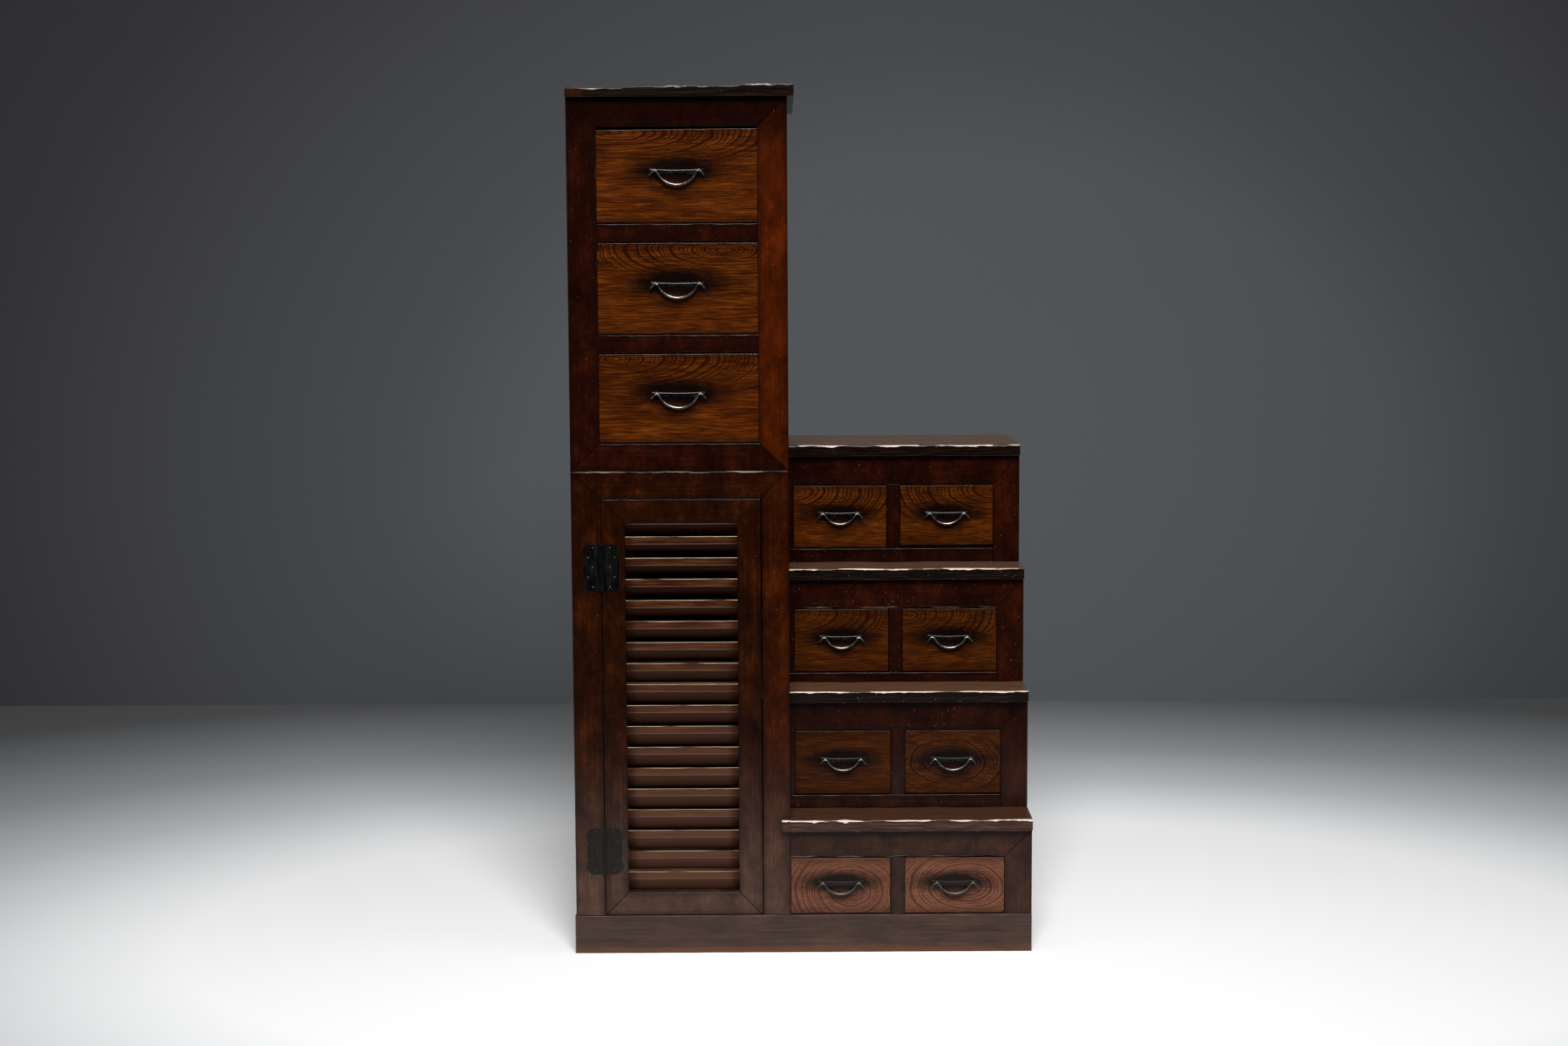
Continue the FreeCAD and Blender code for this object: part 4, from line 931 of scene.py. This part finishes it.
def louvred_door():
    """Four mitred members round seventeen slats that slope down towards the inside, each nearly as
    far as the next one's face, and a thin tapered slat under the head."""
    (left, front, low), (right, back, high) = span("door_frame")
    inner_x = (left + DOOR_MEMBER, right - DOOR_MEMBER)
    inner_z = (low + DOOR_MEMBER, high - DOOR_MEMBER)
    y = (front, back)
    members = [
        plank(stile((low, high), inner_z, (left, inner_x[0]), y), Z, EASED_FRONT, 80, 9.0),
        plank(stile(inner_z, (low, high), (inner_x[1], right), y), Z, EASED_FRONT, 81, 9.0),
        plank(rail((left, right), inner_x, y, (low, inner_z[0])), X, EASED_FRONT, 82, 9.0),
        plank(rail(inner_x, (left, right), y, (inner_z[1], high)), X,
              {"front_low": EASED, "front_high": RUBBED}, 83, 9.0),
    ]
    piece("door_frame_members", members, "door", "frame_lacquer", ["door_frame"])
    (left, front, _), (right, back, _) = span("door_louvre_slats")
    space = (inner_z[1] - inner_z[0] - SLATS * SLAT_FACE) / (SLATS + 1)
    slats = []
    for number in range(SLATS):
        low = inner_z[0] + space + number * (space + SLAT_FACE)
        corners = board((left, right), (front, back), (low, low + SLAT_FACE))
        corners[:, 1, :, 2] -= space - SLAT_CLEARANCE
        slats.append(plank(corners, X, {"front_low": SLAT_FOOT, "front_high": SLAT_HEAD}, 90 + number))
    head = board((left, right), (front, back), (inner_z[1] - HEAD_SLAT_FACE, inner_z[1]))
    head[:, 1, 0, 2] = inner_z[1] - space + SLAT_CLEARANCE
    slats.append(plank(head, X, {}, 90 + SLATS))
    piece("door_slats", slats, "door", "louvre_wood", ["door_louvre_slats"])


def unit_frame():
    """The drawer unit's mitred frame with two rails between the drawers."""
    (left, front, low), (right, back, high) = span("unit_face_frame")
    y = (front, back)
    clear = (left + UNIT_STILE, right - UNIT_STILE)
    levels = [heights(name + "_drawer") for name in ("bottom", "middle", "top")]
    sills = [level[0] for level in levels]
    heads = [level[3] + DRAWER_FALL for level in levels]
    boards = [
        plank(stile((low, high), (sills[0], heads[2]), (left, clear[0]), y), Z,
              RUBBED_FRONT, 110, 8.0),
        # painted light: this right stile is the brightest, where light falls
        plank(stile((sills[0], heads[2]), (low, high), (clear[1], right), y), Z,
              EASED_FRONT, 111, 8.0, sun=1.0),
        plank(rail((left, right), clear, y, (low, sills[0])), X,
              {"front_low": EASED, "front_high": RUBBED}, 112, 8.0),
        plank(rail(clear, (left, right), y, (heads[2], high)), X, {"front_low": RUBBED}, 113, 8.0),
    ]
    for number in (0, 1):
        boards.append(plank(board(clear, y, (heads[number], sills[number + 1])), X,
                            RUBBED_FRONT, 114 + number, 6.0))
    piece("unit_frame_members", boards, "case", "frame_lacquer", ["unit_face_frame"])


def top_board():
    """The tower's thick top: a long board and a short end piece that meet on a slant."""
    (left, front, low), (right, back, high) = span("unit_top_board")
    joint = left + END_PIECE
    main = board((joint, right), (front, back), (low, high))
    end = board((left, joint), (front, back), (low, high))
    # the joint leans: it starts further left at the top, and the top side falls to the left
    main[0, :, 1, 0] -= END_SLANT
    end[1, :, 1, 0] -= END_SLANT
    main[0, :, 1, 2] -= TOP_FALL
    end[:, :, 1, 2] -= TOP_FALL
    boards = [plank(main, X, TOWER_TOP, 120, 5.0, sag=2.0), plank(end, X, TOWER_TOP, 121, 5.0)]
    piece("tower_top_boards", boards, "case", "tread_lacquer", ["unit_top_board"])


def step(number):
    """One block's face frame, outer boards and inner boards."""
    name = f"step_{number}"
    seed = 130 + 20 * number
    (left, front, low), (right, back, high) = span(name + "_face_frame")
    case = span(name + "_case")
    drawers = [span(f"{name}_{side}_drawer") for side in ("left", "right")]
    y = (front, back)
    depth = (back, case[1][1] - BACK_BOARD)
    near = drawers[0][0][0] - SIDE_GAP
    far = drawers[1][1][0] + SIDE_GAP
    middle = (drawers[0][1][0] + SIDE_GAP, drawers[1][0][0] - SIDE_GAP)
    sill = heights(name + "_left_drawer")[0]
    head = heights(name + "_left_drawer")[3] + DRAWER_FALL
    floor = low + DUST_BOARD if number == 1 else sill
    members = [
        plank(rail((left, far), (left, right), y, (head, high)), X,
              {"front_low": WORN if number in (1, 3) else EASED}, seed, 7.0),
        # painted light: a faint share on each block's right stile
        plank(stile((low, head), (low, high), (far, right), y), Z, EASED_FRONT,
              seed + 1, 8.0, sun=0.1),
        plank(board(middle, y, (sill, head)), Z, EASED_FRONT, seed + 2, 8.0),
    ]
    inner = [
        plank(board((near, right - PANEL), depth, (floor - DUST_BOARD, floor)), X, {}, seed + 3, HIDDEN),
        plank(board(middle, depth, (floor, high)), Y, {}, seed + 4, HIDDEN),
        plank(board((far, right - PANEL), depth, (floor, floor + GUIDE)), Y, {}, seed + 5, HIDDEN),
    ]
    outer = [plank(board((right - PANEL, right), depth, (low, high)), Y, {"back_low": EASED},
                   seed + 6, HIDDEN, heart=(200.0, -300.0, 0.03, 700.0 * number))]
    outer += back_boards((case[0][0], right), (depth[1], case[1][1]), (low, high), seed + 7)
    if number > 1:
        members.append(plank(board((left, far), y, (low, sill)), X,
                             {"front_high": EASED if number == 4 else RUBBED}, seed + 10, 7.0))
        members.append(plank(board((left, near), y, (sill, head)), Z, {}, seed + 11, 20.0))
        inner.append(plank(board((left, near), depth, (low, high)), Y, {}, seed + 12, HIDDEN))
    piece(name + "_frame_members", members, "case", "frame_lacquer", [name + "_face_frame"])
    piece(name + "_outer_boards", outer, "case", "side_lacquer", [name + "_case"])
    piece(name + "_inner_boards", inner, "case", "inner_softwood")


def tread(number):
    """One block's tread, with the front strip by which the lowest one runs past its block."""
    name = f"step_{number}"
    seed = 143 + 20 * number
    edge, face, _ = span(name + "_face_frame")[0]
    (left, front, low), (right, back, high) = span(name + "_tread")
    z = (low, high)
    boards = [plank(board((edge, right), (front, back), z), X, TREAD, seed, 4.0,
                    heart=(200.0, -60.0, 0.04, 500.0 * number), sag=1.5)]
    if left < edge - 1:
        boards.append(plank(board((left, edge), (front, face), z), X, TREAD, seed + 1, 4.0,
                            heart=(-280.0, -60.0, 0.04, 500.0 * number)))
    piece(name + "_tread_board", boards, "case", "tread_lacquer", [name + "_tread"])


# ---------------------------------------------------------------- drawers

# Where the tree's heart lies behind each front (shares of its width and height), how steeply the rings
# run out of it, the ring at the heart and the least ring in millimetres, and how far it has bleached.
FIGURES = {
    "top_drawer": (0.12, 0.96, 0.25, 8.0, 1.8, 0.88),
    "middle_drawer": (0.80, 0.92, 0.28, 3.0, 2.2, 0.84),
    "bottom_drawer": (0.08, 0.94, 0.28, 3.0, 2.1, 0.80),
    "step_4_left_drawer": (0.02, 0.90, 0.46, 8.0, 3.6, 0.92),
    "step_4_right_drawer": (1.00, 0.90, 0.46, 8.0, 3.6, 0.84),
    "step_3_left_drawer": (-0.04, 0.96, 0.45, 5.0, 2.6, 0.64),
    "step_3_right_drawer": (0.04, 0.90, 0.45, 5.0, 2.6, 0.60),
    "step_2_left_drawer": (-0.25, 1.30, 0.30, 4.0, 2.0, 0.38),
    "step_2_right_drawer": (0.45, 0.50, 0.60, 9.0, 4.0, 0.55),
    "step_1_left_drawer": (0.60, 0.40, 0.80, 5.0, 3.6, 1.0),
    "step_1_right_drawer": (0.62, 0.48, 0.62, 8.0, 4.6, 1.0),
}
# the soot round a small pull is tighter by this much
TIGHT = 1.3
# fronts whose foot has shrunk or been cut short, in millimetres
SHORT_FOOT = {"step_4_right_drawer": 4.5}
# fronts whose head has shrunk, at their left and right ends
SHORT_HEAD = {"top_drawer": (3.6, 1.2)}


def drawer(name, number):
    """A front with rounded arrises on a plain open box; the front carries the pull's distance."""
    (left, front, _), (right, back, _) = span(name)
    _, low, floor, top = heights(name)
    wide = not name.startswith("step")
    behind = front + DRAWER_FRONT
    across, up, slope, ring, least, sun = FIGURES[name]
    heart = (across * (right - left), up * (top - low), slope, 700.0 * number)
    foot = low + SHORT_FOOT.get(name, 0.0)
    front_board = board((left, right), (front, behind), (foot, top))
    front_board[:, :, 1, 2] -= np.array(SHORT_HEAD.get(name, (0.0, 0.0)))[:, None]
    face = plank(front_board, X, EASED_FRONT, 300 + number, 8.0, heart=heart, sun=sun)
    face["rings"] = np.tile([ring, least, 0.0], (len(face["points"]), 1))
    face["pull"] = (face["points"] - eyes(name)) * (1.0 if wide else TIGHT)
    inner = (left + DRAWER_SIDE, right - DRAWER_SIDE)
    rim = top - SIDE_DROP
    depth = (behind, back)
    boards = [
        plank(board((left, inner[0]), depth, (floor, rim)), Y, {"back_high": EASED}, 320 + number, HIDDEN),
        plank(board((inner[1], right), depth, (floor, rim)), Y, {"back_high": EASED}, 340 + number, HIDDEN),
        plank(board(inner, depth, (floor, floor + DRAWER_BOTTOM)), Y, {}, 360 + number, HIDDEN),
        plank(board(inner, (back - DRAWER_SIDE, back), (floor + DRAWER_BOTTOM, rim)), X, {},
              380 + number, HIDDEN),
    ]
    piece(name + "_face", [face], name, "tower_drawer_keyaki" if wide else "step_drawer_keyaki", [name])
    piece(name + "_box", boards, name, "inner_softwood")


# ---------------------------------------------------------------- pulls

def bail_path(pull):
    """Half a bail's centre line, mirrored: a flared tip, a bend, a straight through the eye, a bend
    and a wide arc whose lowest point hangs `drop` under the eyes. Every bend is an arc of a circle."""
    straight = EYE_HALF
    reach = pull["span"] / 2 - straight
    turn = 2 * math.atan(pull["drop"] / reach)
    flare = math.radians(FLARE_ANGLE)
    eye_in = np.array([reach, 0.0])
    eye_out = np.array([reach + 2 * straight, 0.0])
    outer = np.linspace(0, flare, 6)
    bend_out = eye_out + BEND * np.stack([np.sin(outer), np.cos(outer) - 1], 1)
    tip = bend_out[-1] + FLARE * np.array([math.cos(flare), -math.sin(flare)])
    inner = np.linspace(0, turn, 8)
    bend_in = eye_in + BEND * np.stack([-np.sin(inner), np.cos(inner) - 1], 1)
    start = bend_in[-1]
    radius = start[0] / math.sin(turn)
    sweep = np.linspace(turn, 0, 16)[1:]
    bow = np.stack([radius * np.sin(sweep), start[1] + radius * (math.cos(turn) - np.cos(sweep))], 1)
    half = np.concatenate([np.linspace(tip, bend_out[-1], 5), bend_out[-2::-1], bend_in, bow])
    return np.concatenate([half, (half[:-1] * (-1, 1))[::-1]])


def bail(name):
    """The bail of one drawer: thin at the eyes and the tips, thickest at the bottom of the bow."""
    pull = SMALL_PULL if name.startswith("step") else WIDE_PULL
    centre = eyes(name)
    line = bail_path(pull)
    path = np.stack([line[:, 0] + centre[0], np.full(len(line), centre[1]), line[:, 1] + centre[2]], 1)
    low = np.clip(-line[:, 1] / pull["drop"], 0, 1)
    inside = np.abs(line[:, 0]) < pull["span"] / 2
    thick = np.where(inside, EYE_WIRE + (WIRE - EYE_WIRE) * low ** 0.7, EYE_WIRE - 0.6 * low) / 2
    piece(name + "_bail_wire", [tube(path, thick)], name + "_bail", "wrought_iron", [name + "_bail"],
          weighted=False)


def filed(name, iron, arris):
    """A node that keeps its own shape: its edges are filed to `arris` and it is given its iron."""
    node = frame["nodes"][name]
    # its triangles share no corners until they are welded
    node.modifiers.new("joined_faces", "WELD").merge_threshold = 0.01 * MM
    edges = node.modifiers.new("filed_edges", "BEVEL")
    edges.width = arris * MM
    edges.segments = 2
    edges.limit_method = "ANGLE"
    edges.angle_limit = math.radians(50)
    node.data.materials.clear()
    node.data.materials.append(iron)


plinth()
panels()
cupboard_inside()
drawer_levels()
cupboard_frame()
louvred_door()
unit_frame()
top_board()
for number in range(1, 5):
    step(number)
    tread(number)
for number, name in enumerate(FIGURES):
    drawer(name, number)
    bail(name)
    filed(name + "_pull_plate", PLATE_IRON, PLATE_ARRIS)
for name in ("hinge_case_leaves", "hinge_door_leaves"):
    filed(name, HINGE_IRON, LEAF_ARRIS)


# ---------------------------------------------------------------- studio

# In metres: half the floor's width, how far behind the chest the wall stands, and its height
FLOOR_REACH = 14.0
WALL_AT = 2.15
WALL_TOP = 8.0
# The camera's place in metres, its turns from looking straight down, its lens and film in
# millimetres, and how far its picture is shifted, in film widths
CAMERA_AT = (-0.0395, -4.3643, 1.375)
PAN = math.radians(-0.07)
TILT = math.radians(84.81)
ROLL = -0.0050
LENS = 48.587
FILM = 36.0
SHIFT = -0.045
# Soft lamps: place, aim and size in metres, power in watts and spread in degrees
LAMPS = {
    "front_top": ((0.3, -4.8, 5.6), (0.0, -0.2, 0.7), (3.2, 2.4), 130, 75.0),
    "overhead": ((0.2, -0.5, 3.6), (0.1, -0.3, 0.6), (1.6, 0.6), 12, 180.0),
    "right_side": ((3.4, -1.7, 1.9), (0.0, -0.1, 0.8), (2.4, 2.4), 18, 180.0),
    "left_side": ((-3.4, -1.7, 1.9), (0.0, -0.1, 0.8), (2.4, 2.4), 18, 180.0),
}
AIR = "#c8ccd0"
AIR_LIGHT = 0.03


def flat(name, corners, material):
    """A stage plane from its four corners."""
    mesh = bpy.data.meshes.new(name)
    mesh.from_pydata(corners, [], [(0, 1, 2, 3)])
    made = bpy.data.objects.new(name, mesh)
    bpy.context.scene.collection.objects.link(made)
    made.data.materials.append(material)


# Painted pool of light: the paint's grey by distance from the middle of its oval patch, darker further out
FLOOR_LIGHT_POOL = [(0.34, "#f2f2f3"), (0.39, "#e6e7e8"), (0.50, "#bfc1c3"),
               (0.64, "#95979a"), (0.79, "#76787a"), (0.92, "#58595a")]
WALL_LIGHT_POOL = [(0.0, "#4f5356"), (0.45, "#4f5255"), (0.58, "#46484b"), (0.8, "#404143"), (1.0, "#37373a")]


def stage_paint_and_light(name, middle, stretch, light_pool, mottling, roughness):
    """Flat paint with a painted pool of light: an oval patch round `middle`, and darker the further it lies
    from it.
    """
    def shade(tree):
        place = add(tree, "TexCoord", out="Object")
        colour = add(tree, "ValToRGB", (oval(tree, place, middle, stretch),), ramp=light_pool)
        mottle = uneven(tree, place, (0.5, 0.5, 0.5))
        dull = add(tree, "Math", (mottle, mottling, roughness), operation="MULTIPLY_ADD")
        return colour, dull, mottle
    return finish(name, shade, relief=0.0)


def backdrop():
    """The wall's paint, with a painted pool of light, which isn't there for an eye behind the wall."""
    made = stage_paint_and_light("studio_wall_painted_light", (0.5, 0.0, 0.6), (0.33, 0.0, 0.42), WALL_LIGHT_POOL, 0.05, 0.9)
    tree = made.node_tree
    clear = add(tree, "BsdfTransparent")
    behind = add(tree, "NewGeometry", out="Backfacing")
    seen = add(tree, "MixShader", (behind, tree.nodes["Principled BSDF"].outputs[0], clear))
    tree.links.new(seen, tree.nodes["Material Output"].inputs["Surface"])
    return made


def soft_box(name, place, aim, size, power, spread):
    """A square soft lamp at `place` that faces `aim`, in metres and watts; a grid in front of it keeps
    its light within `spread` degrees."""
    lamp = bpy.data.lights.new(name, "AREA")
    lamp.shape = "RECTANGLE"
    lamp.size, lamp.size_y = size
    lamp.energy = power
    lamp.spread = math.radians(spread)
    made = bpy.data.objects.new(name, lamp)
    bpy.context.scene.collection.objects.link(made)
    aim = np.array(aim, float) - np.array(place, float)
    back = -aim / np.linalg.norm(aim)
    side = np.cross((0.0, 0.0, 1.0), back)
    side = side / np.linalg.norm(side)
    up = np.cross(back, side)
    made.matrix_world = Matrix.Translation(place) @ Matrix((side, up, back)).transposed().to_4x4()


def room():
    """Floor and backdrop."""
    reach = FLOOR_REACH
    flat("studio_floor", [(-reach, -reach, 0), (reach, -reach, 0), (reach, reach, 0), (-reach, reach, 0)],
         stage_paint_and_light("studio_floor_painted_light", (0.2, -0.1, 0.0), (0.6 / 2.6, 1.0 / 2.6, 0.0), FLOOR_LIGHT_POOL,
                     0.1, 0.6))
    flat("studio_wall", [(-reach, WALL_AT, 0), (reach, WALL_AT, 0),
                         (reach, WALL_AT, WALL_TOP), (-reach, WALL_AT, WALL_TOP)], backdrop())


def light():
    """Lamps, and the faint light of the air between them."""
    for name, setting in LAMPS.items():
        soft_box(name, *setting)
    world = bpy.data.worlds.new("studio_air")
    bpy.context.scene.world = world
    world.use_nodes = True
    air = world.node_tree.nodes["Background"]
    air.inputs["Color"].default_value = paint(AIR)
    air.inputs["Strength"].default_value = AIR_LIGHT


def view():
    """The camera."""
    lens = bpy.data.cameras.new("camera")
    lens.lens = LENS
    lens.sensor_width = FILM
    lens.shift_y = SHIFT
    lens.clip_end = 60.0
    camera = bpy.data.objects.new("camera", lens)
    bpy.context.scene.collection.objects.link(camera)
    camera.matrix_world = (Matrix.Translation(CAMERA_AT) @ Matrix.Rotation(PAN, 4, "Z")
                           @ Matrix.Rotation(TILT, 4, "X") @ Matrix.Rotation(ROLL, 4, "Z"))
    bpy.context.scene.camera = camera
    bpy.context.scene.view_settings.view_transform = "Standard"


room()
light()
view()
